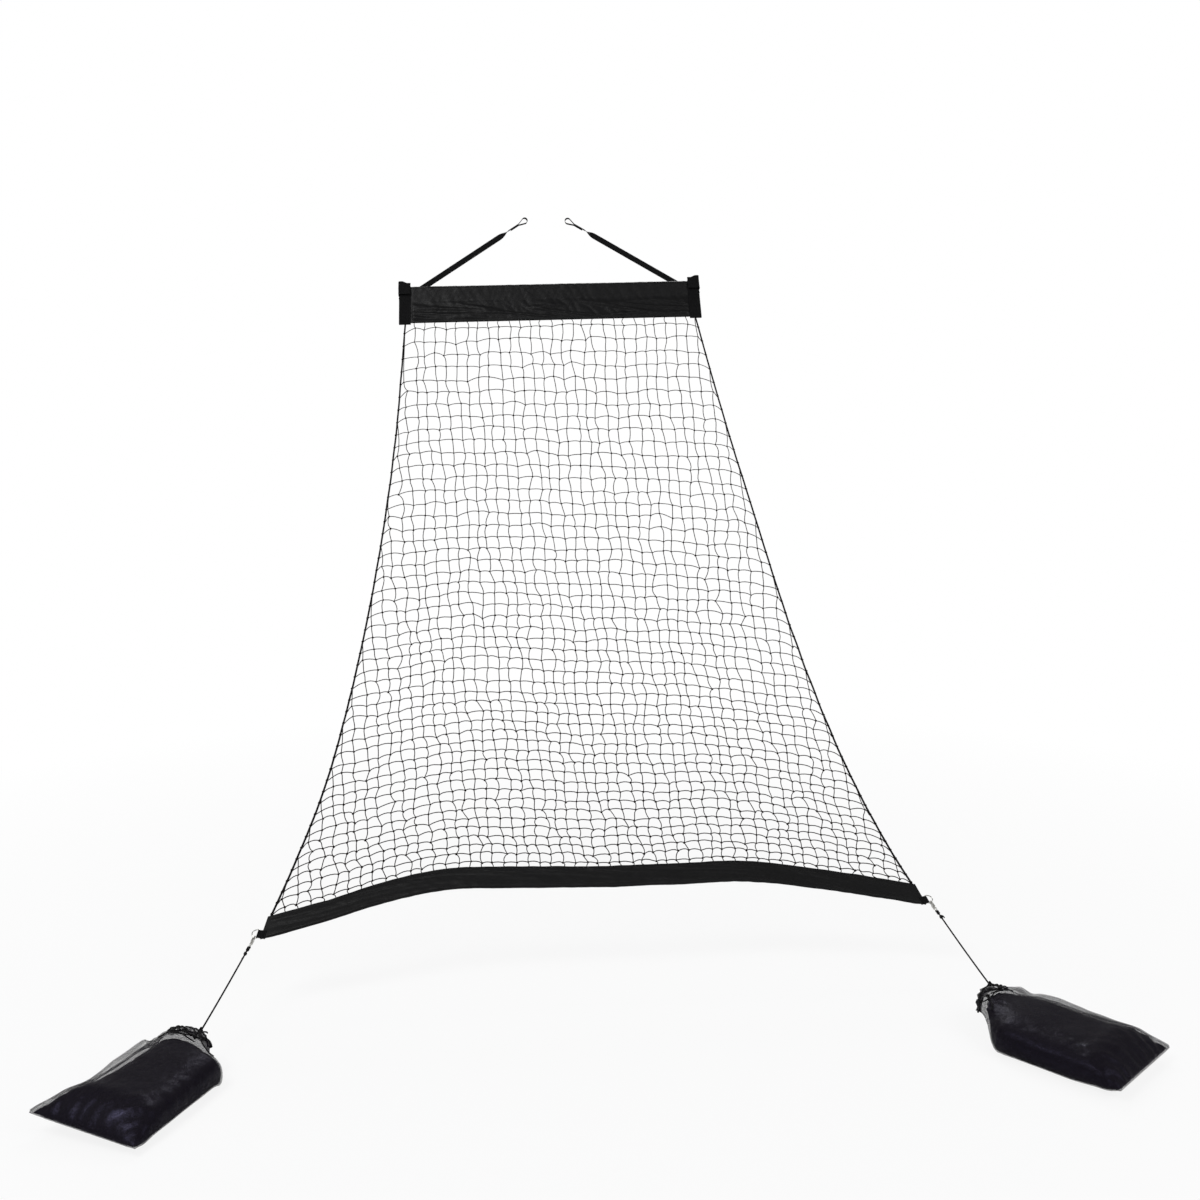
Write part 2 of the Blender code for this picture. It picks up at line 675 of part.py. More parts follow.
def clip(outline, line_low, line_high, keep):
    """Cut an outline of (column, row) by the line between two (column, row) points, keeping one side."""
    slope = (line_high[0] - line_low[0]) / (line_high[1] - line_low[1])

    def side(point):
        return keep * (point[0] - line_low[0] - slope * (point[1] - line_low[1]))

    kept = []
    for here, after in zip(outline, outline[1:] + outline[:1]):
        a, b = side(here), side(after)
        if a >= 0.0:
            kept.append(here)
        if a * b < 0.0:
            t = a / (a - b)
            kept.append((here[0] + (after[0] - here[0]) * t, here[1] + (after[1] - here[1]) * t))
    return kept


def net_gaps(step):
    """Return the outline of every mesh opening, keyed by its column and row."""
    gaps = {}
    strand = NET_TWINE / 2.0
    margin = ROPE_RADIUS + FIT + NET_TWINE
    for row in range(NET_ROWS):
        low, high = row + strand / step, row + 1 - strand / step
        first, last = net_limits(low, margin), net_limits(high, margin)
        mesh = net_middle(row + 0.5)[1]
        inset = strand / mesh
        for column in range(math.floor(min(first[0], last[0])), math.ceil(max(first[1], last[1]))):
            near, far = column + inset, column + 1 - inset
            outline = [(near, low), (far, low), (far, high), (near, high)]
            outline = clip(outline, (first[0], low), (last[0], high), 1.0)
            if outline:
                outline = clip(outline, (first[1], low), (last[1], high), -1.0)
            crosses = [a[0] * b[1] - a[1] * b[0] for a, b in zip(outline, outline[1:] + outline[:1])]
            if abs(sum(crosses)) / 2.0 * mesh * step > LEAST_GAP ** 2:
                gaps[(column, row)] = outline
    return gaps


def inside_outline(point, outline):
    """Tell whether a point is inside a convex outline."""
    signs = [(b[0] - a[0]) * (point[1] - a[1]) - (b[1] - a[1]) * (point[0] - a[0])
             for a, b in zip(outline, outline[1:] + outline[:1])]
    return all(s > 0.0 for s in signs) or all(s < 0.0 for s in signs)


def build_net():
    """The net: flat strands with their mesh openings, its ends held in the sleeve and in the hem."""
    step = row_step()
    entry = NET_ENTRY / step
    margin = ROPE_RADIUS + FIT
    halves = [k / 2.0 for k in range(2 * NET_ROWS + 1)]
    limits = {row: net_limits(row, margin) for row in halves}
    gaps = net_gaps(step)
    flat = []
    edges = []

    def chain(points, close=False):
        """Add a run of points and the edges between them."""
        start = len(flat)
        flat.extend(points)
        edges.extend((k, k + 1) for k in range(start, len(flat) - 1))
        if close:
            edges.append((len(flat) - 1, start))

    def across(row):
        """Return a row's columns between its limits, with the limits."""
        first, last = limits[row]
        columns = range(math.ceil(first + LEAST_MESH), math.floor(last - LEAST_MESH) + 1)
        return [first] + [float(k) for k in columns] + [last]

    left_side = [(limits[row][0], row) for row in halves]
    right_side = [(limits[row][1], row) for row in reversed(halves)]
    below = [(c, NET_ROWS + entry) for c in across(float(NET_ROWS))]
    above = [(c, -entry) for c in reversed(across(0.0))]
    chain(left_side + below + right_side + above, True)
    chain([(c, 0.0) for c in across(0.0)])
    chain([(c, float(NET_ROWS)) for c in across(float(NET_ROWS))])
    for outline in gaps.values():
        chain(outline, True)
    result = delaunay_2d_cdt([Vector(p) for p in flat], edges, [], 0, 1e-6)
    kept = []
    for face in result[2]:
        column = sum(result[0][k].x for k in face) / 3.0
        row = sum(result[0][k].y for k in face) / 3.0
        base = min(max(math.floor(2.0 * row) / 2.0, 0.0), NET_ROWS - 0.5)
        part = min(max((row - base) * 2.0, 0.0), 1.0)
        first, last = (a + (b - a) * part for a, b in zip(limits[base], limits[base + 0.5]))
        gap = gaps.get((math.floor(column), math.floor(row)))
        if first < column < last and not (gap and inside_outline((column, row), gap)):
            kept.append(face)
    shape = bmesh.new()
    faces = []
    for point in result[0]:
        depth = NET_ENTRY * max(-point.y, point.y - NET_ROWS, 0.0) / entry
        place, normal = net_place(point.x, point.y, depth)
        faces.append([shape.verts.new(place + normal * side * NET_THICKNESS / 2.0) for side in (1, -1)])
    borders = {}
    for face in kept:
        shape.faces.new([faces[k][0] for k in face])
        shape.faces.new([faces[k][1] for k in reversed(face)])
        for a, b in zip(face, face[1:] + face[:1]):
            key = (min(a, b), max(a, b))
            borders[key] = None if key in borders else (a, b)
    for pair in borders.values():
        if pair:
            a, b = pair
            shape.faces.new((faces[a][0], faces[a][1], faces[b][1], faces[b][0]))
    bmesh.ops.delete(shape, geom=[v for v in shape.verts if not v.link_faces], context="VERTS")
    add_object("net_panel", shape, twine())
    print("net openings:", len(gaps))


def build_rope(name):
    """A side rope from under the sleeve's end panel to the hem's top edge."""
    sign = SIDES[name]["sign"]
    points = [rope_point(name, k / (2.0 * NET_ROWS)) for k in range(2 * NET_ROWS + 1)]
    down = bar_matrix().to_3x3() @ Vector((0.0, 0.0, -1))
    first = (points[1] - points[0]).normalized()
    lean = down.angle(first)
    points[0] += first * (PANEL_OVERHANG + GAP + ROPE_RADIUS * math.sin(lean)) / math.cos(lean)
    foot = rope_foot_share(sign)
    nudge = NUDGE * 0.2
    edge = (hem_point(foot + nudge, HEM_HEIGHT) - hem_point(foot - nudge, HEM_HEIGHT)).normalized()
    upward = (hem_matrix().to_3x3() @ Vector((0, 0, 1))).cross(edge)
    last = (points[-2] - points[-1]).normalized()
    lean = upward.angle(last)
    points[-1] += last * (GAP + ROPE_RADIUS * math.sin(lean)) / math.cos(lean)
    add_tube(f"side_rope_{name}", points, ROPE_DIAMETER, twine())


def build_hem():
    """The cloth band that holds the net's lower edge, with the cord in its fold."""
    low = HEM_FOLD - HEM_HEIGHT
    outline = folded_outline(HEM_FOLD - CLOTH, SLOT / 2.0, CLOTH, low, HEM_HEIGHT / 2.0)
    rings = [[hem_point(k / HEM_STATIONS, HEM_FOLD - z, y) for y, z in outline] for k in range(HEM_STATIONS + 1)]
    add_object("hem_band", loft(rings), polyester())
    shares = [k / HEM_STATIONS for k in range(HEM_STATIONS + 1)]
    shares[0] = OVERRUN / HEM_SPAN
    shares[-1] = 1.0 - OVERRUN / HEM_SPAN
    add_tube("hem_cord", [hem_point(share, HEM_FOLD) for share in shares], HEM_CORD, twine())


def corner_matrix(sign):
    """Frame at a lower corner of the hem: X along it, Y up its end edge, Z off its upper face."""
    end = 0.5 + sign * 0.5
    low, high = hem_point(end, 0.0), hem_point(end, HEM_HEIGHT)
    up = (high - low).normalized()
    off = hem_matrix().to_3x3() @ Vector((0, 0, 1))
    return frame(low, up.cross(off), up, off)


def build_corner(name, sign):
    """A webbing tab at the hem's corner, folded round the straight bar of a D-ring."""
    corner = add_empty(f"corner_{name}", corner_matrix(sign))
    inner = RING_RADIUS + GAP
    outer = inner + WEBBING
    quarter = 90.0 * DEG
    outside = arc((TAB_REACH, 0.0), outer, quarter, -quarter, TAB_STEPS)
    inside = arc((TAB_REACH, 0.0), inner, -quarter, quarter, TAB_STEPS)
    outline = [(GAP, outer)] + outside + [(GAP, -outer), (GAP, -inner)] + inside + [(GAP, inner)]
    tab = prism(outline, lambda a, b, level: Vector((sign * a, level, b)),
                RING_FOOT - TAB_WIDTH / 2.0, RING_FOOT + TAB_WIDTH / 2.0)
    add_object(f"hem_tab_{name}", tab, webbing(), corner)
    axis = add_empty(f"d_ring_axis_{name}", Matrix.Translation((sign * TAB_REACH, RING_FOOT, 0.0)), corner)
    path = [(0.0, -RING_HALF), (0.0, 0.0)]
    path += [(RING_DEPTH * x, RING_HALF * y) for x, y in arc((0.0, 0.0), 1, quarter, -quarter, RING_STEPS)][:-1]
    section = ring_points(RING_RADIUS, WIRE_SIDES)
    rings = []
    for before, here, after in zip(path[-1:] + path[:-1], path, path[1:] + path[:1]):
        run = Vector((after[0] - before[0], after[1] - before[1], 0.0)).normalized()
        side = Vector((run.y, -run.x, 0.0))
        points = [Vector((*here, 0.0)) + side * a + Vector((0.0, 0.0, b)) for a, b in section]
        rings.append([Vector((sign * p.x, p.y, p.z)) for p in points])
    add_object(f"d_ring_{name}", loft(rings, closed=True), plated(), axis)


def contact_point(sign):
    """Return where the hook pulls on the D-ring, and the ring's direction there."""
    c, s = math.cos(RING_CONTACT), math.sin(RING_CONTACT)
    at = Vector((sign * (TAB_REACH + RING_DEPTH * c), RING_FOOT - RING_HALF * s, 0.0))
    along = Vector((sign * RING_DEPTH * s, RING_HALF * c, 0.0))
    corner = corner_matrix(sign)
    return corner @ at, (corner.to_3x3() @ along).normalized()


def knot_point(side):
    """Return the centre of the knot at a bag's mouth, out from the hem's corner and ahead of it."""
    sign = side["sign"]
    across = sign * (HEM_SPAN / 2.0 + side["knot_beyond"]) + HEM_SHIFT
    forward = HEM_FORWARD - sign * HEM_SKEW / 2.0 + side["knot_ahead"]
    return Vector((across, -forward, FLOOR + MOUTH_HEIGHT))


def line_matrix(side):
    """Frame of a line: its origin on the D-ring's wire, Z back up the line, Y along the wire."""
    at, along = contact_point(side["sign"])
    up = (at - knot_point(side)).normalized()
    side_way = (along - up * along.dot(up)).normalized()
    return frame(at, side_way.cross(up), side_way, up)


def box(low, high):
    """Return a plain box between two corners."""
    corners = [(low[0], low[1]), (high[0], low[1]), (high[0], high[1]), (low[0], high[1])]
    return prism(corners, flat_place, low[2], high[2])


def moved(shape, *offset):
    """Move a shape."""
    shape.transform(Matrix.Translation(offset))
    return shape


def hook_sizes():
    """Return the sizes of a snap hook that follow from its rod, throat and bolt."""
    rod = HOOK_ROD / 2.0
    arm = HOOK_THROAT / 2.0 + rod
    crown = RING_RADIUS + HOOK_PLAY + rod
    bore = BOLT_DIAMETER / 2.0 + BOLT_PLAY
    nose = BARREL_TOP - BOLT_TRAVEL - BOLT_PLAY
    return rod, arm, crown, bore, nose


def build_hook(name, line):
    """A snap hook: body with its arm, spring bolt, coil spring and swivel eye, whose depth it returns."""
    rod, arm, crown, bore, nose = hook_sizes()
    low = BARREL_TOP + BARREL_LENGTH
    wall = BOLT_PLAY + OVERRUN
    left, right = -arm - bore - wall, arm + rod + BOLT_PLAY
    edge = BARREL_EDGE
    deep = BARREL_DEPTH / 2.0 - edge
    corners = []
    for quarter, (x, y) in enumerate(((right - edge, deep), (left + edge, deep), (left + edge, -deep),
                                      (right - edge, -deep))):
        corners += arc((x, y), edge, quarter * 90.0 * DEG, (quarter + 1) * 90.0 * DEG, 2)
    barrel = prism(corners, flat_place, -low, -BARREL_TOP)
    body = add_object(f"hook_body_{name}", barrel, plated(), line)
    path = [(arm, -BARREL_TOP - OVERRUN), (arm, -nose)]
    path += arc((0.0, crown - arm), arm, 0.0, 180.0 * DEG, HOOK_STEPS) + [(-arm, -nose)]
    section = ring_points(rod, WIRE_SIDES)
    rings = []
    for before, here, after in zip(path[:1] + path[:-1], path, path[1:] + path[-1:]):
        run = Vector((after[0] - before[0], 0.0, after[1] - before[1])).normalized()
        out = Vector((run.z, 0.0, -run.x))
        centre = Vector((here[0], 0.0, here[1]))
        rings.append([centre + out * a + Vector((0.0, b, 0.0)) for a, b in section])
    combine(body, "UNION", add_tool(f"arm_{name}", loft(rings), line))
    bottom = BARREL_TOP + BORE_DEPTH
    shaft = moved(pillar([(bore, -bottom), (bore, -BARREL_TOP + OVERRUN)]), -arm, 0.0, 0.0)
    knob_level = BARREL_TOP + BOLT_TAIL / 2.0
    knob = KNOB_DIAMETER / 2.0
    slot = box((left - OVERRUN, -knob - BOLT_PLAY, -knob_level - BOLT_TRAVEL - knob - GAP),
               (-arm, knob + BOLT_PLAY, -knob_level + knob + GAP))
    head = SWIVEL_HEAD / 2.0
    stem = SWIVEL_STEM / 2.0
    floor = low - SWIVEL_FLOOR
    roof = floor - SWIVEL_HEAD_LENGTH - 2.0 * GAP
    socket = pillar([(stem + SWIVEL_PLAY, -low - OVERRUN), (stem + SWIVEL_PLAY, -floor),
                     (head + SWIVEL_PLAY, -floor), (head + SWIVEL_PLAY, -roof)])
    combine(body, "DIFFERENCE", add_tool(f"bolt_bore_{name}", shaft, line),
            add_tool(f"knob_slot_{name}", slot, line), add_tool(f"swivel_socket_{name}", socket, line))
    tail = BARREL_TOP + BOLT_TAIL
    axis = add_empty(f"bolt_axis_{name}", Matrix.Translation((-arm, 0.0, -knob_level)), line)
    stud = BOLT_DIAMETER / 2.0
    pin = pillar([(stud, knob_level - tail), (stud, knob_level - nose - GAP)])
    bolt = add_object(f"hook_bolt_{name}", pin, plated(), axis)
    thumb = pillar([(knob, 0.0), (knob, bore + wall + KNOB_REACH)])
    thumb.transform(Matrix.Rotation(-90.0 * DEG, 4, "Y"))
    combine(bolt, "UNION", add_tool(f"knob_{name}", thumb, axis))
    coil = bore - BOLT_PLAY / 2.0 - SPRING_WIRE
    high = tail + GAP + SPRING_WIRE / 2.0
    fall = bottom - GAP - SPRING_WIRE / 2.0 - high
    count = CURL_POINTS * SPRING_TURNS
    curl = 2.0 * math.pi / CURL_POINTS
    helix = [(coil * math.cos(curl * k) - arm, coil * math.sin(curl * k), -high - fall * k / count)
             for k in range(count + 1)]
    add_tube(f"hook_spring_{name}", helix, SPRING_WIRE, plated(), line, 1)
    eye = low + SWIVEL_NECK + EYE_WIRE / 2.0 + EYE_RADIUS
    shank = pillar([(stem, -eye + EYE_RADIUS), (stem, -floor + GAP), (head, -floor + GAP), (head, -roof - GAP)])
    swivel = add_object(f"swivel_eye_{name}", shank, plated(), line)
    eye_ring = torus(Vector((0.0, 0.0, -eye)), EYE_RADIUS, EYE_WIRE / 2.0)
    combine(swivel, "UNION", add_tool(f"eye_{name}", eye_ring, line))
    return eye


def lump(middle):
    """Return the (radius, height) steps of one knot along a cord."""
    return [(KNOT_WIDTH / 2.0 * wide, middle + KNOT_LENGTH * level) for level, wide in KNOT_SHARES]


def hook_knot_levels(eye):
    """Return the heights of the two knots under a swivel eye."""
    first = -eye - EYE_RADIUS - EYE_WIRE / 2.0 - GAP - KNOT_LENGTH / 2.0
    return first, first - KNOT_SPACING


def build_line(name, side, line, eye):
    """The cord from the hook to the bag: a loop through the swivel eye, two knots, the cord and the bag's knot."""
    first, second = hook_knot_levels(eye)
    body = add_object(f"hook_knot_{name}", pillar(lump(second) + lump(first), KNOT_SIDES), twine(), line)
    around = EYE_WIRE / 2.0 + GAP + KNOT_LOOP / 2.0
    hoop = torus(Vector((0.0, 0.0, 0.0)), around, KNOT_LOOP / 2.0)
    hoop.transform(Matrix.Rotation(90.0 * DEG + KNOT_TURN, 4, "Z") @ Matrix.Rotation(KNOT_TURN, 4, "Y"))
    combine(body, "UNION", add_tool(f"knot_loop_{name}", moved(hoop, 0.0, 0.0, -eye - EYE_RADIUS), line))
    knot = knot_point(side)
    carrier = line_matrix(side)
    up = carrier.to_3x3() @ Vector((0.0, 0.0, 1))
    start = carrier @ Vector((0.0, 0.0, second - KNOT_LENGTH / 2.0 - GAP))
    end = knot + up * (KNOT_LENGTH / 2.0 + GAP)
    count = math.ceil((end - start).length / (CORD_STEP * CORD_DIAMETER))
    points = [start.lerp(end, k / count) - Vector((0.0, 0.0, CORD_SAG * share_at(CORD_SHARES, k / count)))
              for k in range(count + 1)]
    add_tube(f"tension_cord_{name}", points, CORD_DIAMETER, twine())
    print("cord", name, round((end - start).length, 4))
    ball = pillar(lump(0.0), KNOT_SIDES)
    ball.transform(up.to_track_quat("Z", "Y").to_matrix().to_4x4())
    axis = add_empty(f"bag_knot_place_{name}", Matrix.Translation(knot))
    add_object(f"bag_knot_{name}", ball, twine(), axis)


def bag_matrix(side):
    """Frame of a bag: its origin under the knot on the floor, X from its mouth to its far seam."""
    away = Vector((side["sign"] * math.sin(side["bag_turn"]), -math.cos(side["bag_turn"]), 0.0))
    knot = knot_point(side)
    return frame(Vector((knot.x, knot.y, FLOOR)), away, Vector((-away.y, away.x, 0.0)), Vector((0.0, 0.0, 1)))


def bag_ring(x, centre, width, low, high, inset=0.0):
    """Return one section of a bag: round sides, flat base, drawn in by an inset."""
    low, high = low + inset, high - inset
    middle = low + (high - low) * BAG_EQUATOR_SHARE
    half = width / 2.0 - inset
    ring = []
    for c, s in ring_points(1, RING_SIDES):
        y = half * math.copysign(abs(c) ** BAG_SIDE_POWER, c)
        if s >= 0.0:
            z = middle + (high - middle) * abs(s) ** BAG_TOP_POWER
        else:
            z = middle - (middle - low) * min(1.0, BAG_BASE_FLAT * abs(s) ** BAG_TOP_POWER)
        ring.append(Vector((x, centre + y, z)))
    return ring


def mouth_plane(side):
    """Return how far in front of a sack's mouth its knot is centred."""
    away = bag_matrix(side).to_3x3() @ Vector((1, 0.0, 0.0))
    up = line_matrix(side).to_3x3() @ Vector((0.0, 0.0, 1))
    lean = away.angle(-up)
    return KNOT_LENGTH / 2.0 * math.cos(lean) + KNOT_WIDTH / 2.0 * KNOT_SHARES[0][1] * math.sin(lean) + GAP


def build_bag(name, side):
    """A drawstring sack of mesh cloth round a pouch of sand."""
    turn = add_empty(f"bag_axis_{name}", bag_matrix(side))
    centre = -side["bag_offset"]
    body = side["mouth_reach"]
    lips = mouth_plane(side)
    gape = MOUTH_GAPE / 2.0
    spread = gape + MOUTH_SPREAD
    stations = [(lips, MOUTH_WIDTH, MOUTH_HEIGHT - gape, MOUTH_HEIGHT + gape)]
    stations += [(lips + MOUTH_HEM, MOUTH_WIDTH + 2.0 * MOUTH_SPREAD, MOUTH_HEIGHT - spread, MOUTH_HEIGHT + spread)]
    stations += [(body + BAG_LENGTH * along, BAG_WIDTH * wide, BAG_THICKNESS * low, BAG_THICKNESS * high)
                 for along, wide, low, high in BAG_SHARES]
    seam = (body + BAG_LENGTH, BAG_WIDTH, SEAM_LIFT - SEAM_THICKNESS / 2.0, SEAM_LIFT + SEAM_THICKNESS / 2.0)
    outer = [bag_ring(x, centre, w, low, high) for x, w, low, high in stations + [seam]]
    inner = [bag_ring(x, centre, w, low, high, SACK_WALL) for x, w, low, high in stations]
    sack = loft(outer[::-1] + inner, swap_at=len(outer))
    add_object(f"mesh_sack_{name}", sack, mesh_cloth(), turn)
    skin = SACK_WALL + POUCH_PLAY
    x, w, low, high = stations[2]
    level = (low + high) / 2.0
    neck = (x + BAG_LENGTH * POUCH_NECK_SHARE, w * POUCH_MOUTH_SHARE,
            level - skin - gape, level + skin + gape)
    x, w, low, high = stations[-1]
    inside = [neck] + stations[3:-1] + [(x - POUCH_PLAY, w, low, high)]
    outer = [bag_ring(x, centre, w, low, high, skin) for x, w, low, high in inside]
    lining = skin + POUCH_WALL
    inner = [bag_ring(x, centre, w, low, high, lining) for x, w, low, high in inside[:-1]]
    x, w, low, high = inside[-1]
    back = x - POUCH_WALL
    inner.append(bag_ring(back, centre, w, low, high, lining))
    add_object(f"sand_pouch_{name}", loft(outer[::-1] + inner, swap_at=len(outer)), vinyl(), turn)
    core = lining + GAP
    fill = [bag_ring(x, centre, w, low, high, core) for x, w, low, high in stations[3:-1]]
    fill.append(bag_ring(back - GAP, centre, w, low, high, core))
    add_object(f"sand_fill_{name}", loft(fill, swap_at=0), sand(), turn)
    build_drawcord(name, turn, centre, stations)


def build_drawcord(name, turn, centre, stations):
    """The drawcord round a sack, just behind its mouth."""
    (x, width, low, high), after = stations[0], stations[1]
    front, behind = bag_ring(x, centre, width, low, high), bag_ring(after[0], centre, *after[1:])
    ring = [a.lerp(b, 0.5) for a, b in zip(front, behind)]
    reach = DRAWCORD / 2.0 + GAP + DRAWCORD_PLAY
    path = []
    for index, here in enumerate(ring):
        run = (ring[(index + 1) % RING_SIDES] - ring[index - 1]).normalized()
        out = Vector((0.0, run.z, -run.y))
        growth = (behind[index] - front[index]).dot(out) / (after[0] - x)
        path.append(here + out * reach * math.sqrt(1.0 + growth * growth))
    rings = []
    for before, here, later in zip(path[-1:] + path[:-1], path, path[1:] + path[:1]):
        run = (later - before).normalized()
        out = Vector((0.0, run.z, -run.y)).normalized()
        rings.append([here + out * a + Vector((b, 0.0, 0.0)) for a, b in ring_points(DRAWCORD / 2.0, 6)])
    add_object(f"drawcord_{name}", loft(rings, closed=True), twine(), turn)


def main():
    """Build every piece."""
    clear_scene()
    bar = add_empty("bar_frame", bar_matrix())
    build_bar(bar)
    build_sleeve(bar)
    build_net()
    build_hem()
    for name, side in SIDES.items():
        build_strap(bar, name, side["sign"])
        build_rope(name)
        build_corner(name, side["sign"])
        line = add_empty(f"line_{name}", line_matrix(side))
        eye = build_hook(name, line)
        build_line(name, side, line, eye)
        build_bag(name, side)


main()
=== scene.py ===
"""A basketball return net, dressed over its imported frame: sleeve, straps, net, hem, fittings, sand bags."""

import bisect
import logging
import math
import random
from dataclasses import dataclass
from enum import Enum
from functools import partial
from typing import Callable, Iterable, Sequence

import bmesh
import bpy
from mathutils import Matrix, Vector, noise


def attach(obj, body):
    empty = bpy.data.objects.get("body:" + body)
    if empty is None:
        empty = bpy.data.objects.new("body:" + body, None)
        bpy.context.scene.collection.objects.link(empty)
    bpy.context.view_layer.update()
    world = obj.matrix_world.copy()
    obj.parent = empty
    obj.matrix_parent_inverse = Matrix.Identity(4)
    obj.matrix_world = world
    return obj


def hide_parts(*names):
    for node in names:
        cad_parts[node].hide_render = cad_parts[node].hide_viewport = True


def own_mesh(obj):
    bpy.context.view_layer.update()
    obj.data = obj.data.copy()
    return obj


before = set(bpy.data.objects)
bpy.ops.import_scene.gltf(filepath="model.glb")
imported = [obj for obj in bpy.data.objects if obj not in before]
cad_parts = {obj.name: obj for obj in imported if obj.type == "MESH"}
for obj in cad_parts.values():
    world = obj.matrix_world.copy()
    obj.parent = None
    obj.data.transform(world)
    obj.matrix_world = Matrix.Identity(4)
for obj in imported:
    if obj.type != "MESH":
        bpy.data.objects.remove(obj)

LOG = logging.getLogger("return_net")
MM = 0.001
DEG = math.pi / 180.0
TURN = 2.0 * math.pi
SMOOTH = 180.0 * DEG
UP = Vector((0.0, 0.0, 1.0))
CUT = "cut"

Pair = tuple[float, float]
Table = Sequence[Pair]
Path = Sequence[Vector]
Rings = list[list[Vector]]
Socket = bpy.types.NodeSocket
Item = bpy.types.Object


# ---------------------------------------------------------------- shared maths

class Side(Enum):
    """The two sides of the net, seen from the front."""

    LEFT = "left"
    RIGHT = "right"

    @property
    def sign(self) -> float:
        """-1 on the left and 1 on the right."""
        return self.pick((-1.0, 1.0))

    def pick(self, pair: Sequence) -> object:
        """Return this side's own of a pair that has the left one first."""
        return pair[0 if self is Side.LEFT else 1]


def linear(code: str) -> tuple[float, float, float, float]:
    """Return an sRGB hex colour such as "#1c1b1e" as linear red, green, blue and an alpha of 1."""
    parts = [int(code[k:k + 2], 16) / 255.0 for k in (1, 3, 5)]
    return (*((c / 12.92 if c <= 0.04045 else ((c + 0.055) / 1.055) ** 2.4) for c in parts), 1.0)


def smooth_share(table: Table, share: float) -> float:
    """Read a smooth value from a table of shares.

    Args:
        table: Pairs of a share and its value, in rising order.
        share: Where to read, held between 0 and 1.

    Returns:
        The value of a cubic through the table's pairs.
    """
    knots, values = zip(*table)
    slopes = [(values[k + 1] - values[k]) / (knots[k + 1] - knots[k]) for k in range(len(knots) - 1)]
    tangents = [slopes[0]] + [(a + b) / 2.0 for a, b in zip(slopes, slopes[1:])] + [slopes[-1]]
    share = min(max(share, 0.0), 1.0)
    k = min(bisect.bisect_right(knots, share) - 1, len(slopes) - 1)
    step = knots[k + 1] - knots[k]
    t = (share - knots[k]) / step
    return ((2 * t ** 3 - 3 * t ** 2 + 1) * values[k] + (t ** 3 - 2 * t ** 2 + t) * step * tangents[k]
            + (3 * t ** 2 - 2 * t ** 3) * values[k + 1] + (t ** 3 - t ** 2) * step * tangents[k + 1])


def axes(origin: Vector, x_axis: Vector, y_axis: Vector, z_axis: Vector) -> Matrix:
    """Return the matrix of a frame given by its origin and axes."""
    return Matrix.Translation(origin) @ Matrix((x_axis, y_axis, z_axis)).transposed().to_4x4()


def ease(value: float) -> float:
    """Return a smooth step from 0 to 1 of a value held between them."""
    value = min(max(value, 0.0), 1.0)
    return value * value * (3.0 - 2.0 * value)


def ripple(u: float, v: float, seed: float = 0.0) -> float:
    """Return smooth noise between about -1 and 1 at a place on a cloth."""
    return noise.noise(Vector((u, v, seed)))


def pleat(across: float, along: float, seed: float, narrow: float) -> float:
    """Return 1 on the crest of a narrow pleat in a cloth, and 0 away from it."""
    return 1.0 - min(abs(ripple(across, along, seed)) * narrow, 1.0)


def shares(count: int, low: float = 0.0, high: float = 1.0) -> list[float]:
    """Return count + 1 equally spaced values from low to high."""
    return [low + (high - low) * k / count for k in range(count + 1)]


def round_turn(count: int) -> list[float]:
    """Return the angles of equal steps round a full turn."""
    return [TURN * k / count for k in range(count)]


def arc(centre: Pair, radius: float, start: float, end: float, steps: int) -> list[Pair]:
    """Return the points of an arc in a plane, from one angle to another in equal steps."""
    return [(centre[0] + radius * math.cos(a), centre[1] + radius * math.sin(a))
            for a in shares(steps, start, end)]


def runs(line: Sequence, closed: bool = False) -> list[Vector]:
    """Return the direction of a line at each of its points."""
    ends = [line[-1], *line, line[0]] if closed else [line[0], *line, line[-1]]
    return [Vector([b - a for a, b in zip(*pair)]).normalized() for pair in zip(ends, ends[2:])]


def length_of(path: Path) -> float:
    """Return a path's length."""
    return sum((b - a).length for a, b in zip(path, path[1:]))


def curved(path: Path, steps: int) -> list[Vector]:
    """Return a Catmull-Rom curve through a path's points, with steps between every two of them."""
    result = []
    for k in range(len(path) - 1):
        before, here, after, last = path[max(k - 1, 0)], path[k], path[k + 1], path[min(k + 2, len(path) - 1)]
        for part in range(steps):
            t = part / steps
            result.append(0.5 * (2.0 * here + (after - before) * t
                                 + (2.0 * before - 5.0 * here + 4.0 * after - last) * t * t
                                 + (3.0 * here - before - 3.0 * after + last) * t ** 3))
    return result + [path[-1]]


# ---------------------------------------------------------------- where the net hangs

@dataclass(frozen=True)
class LineSpec:
    """Where one side's line ends and how its bag lies, in metres and radians."""

    knot_across: float
    knot_forward: float
    bag_turn: float
    bag_offset: float
    mouth_reach: float


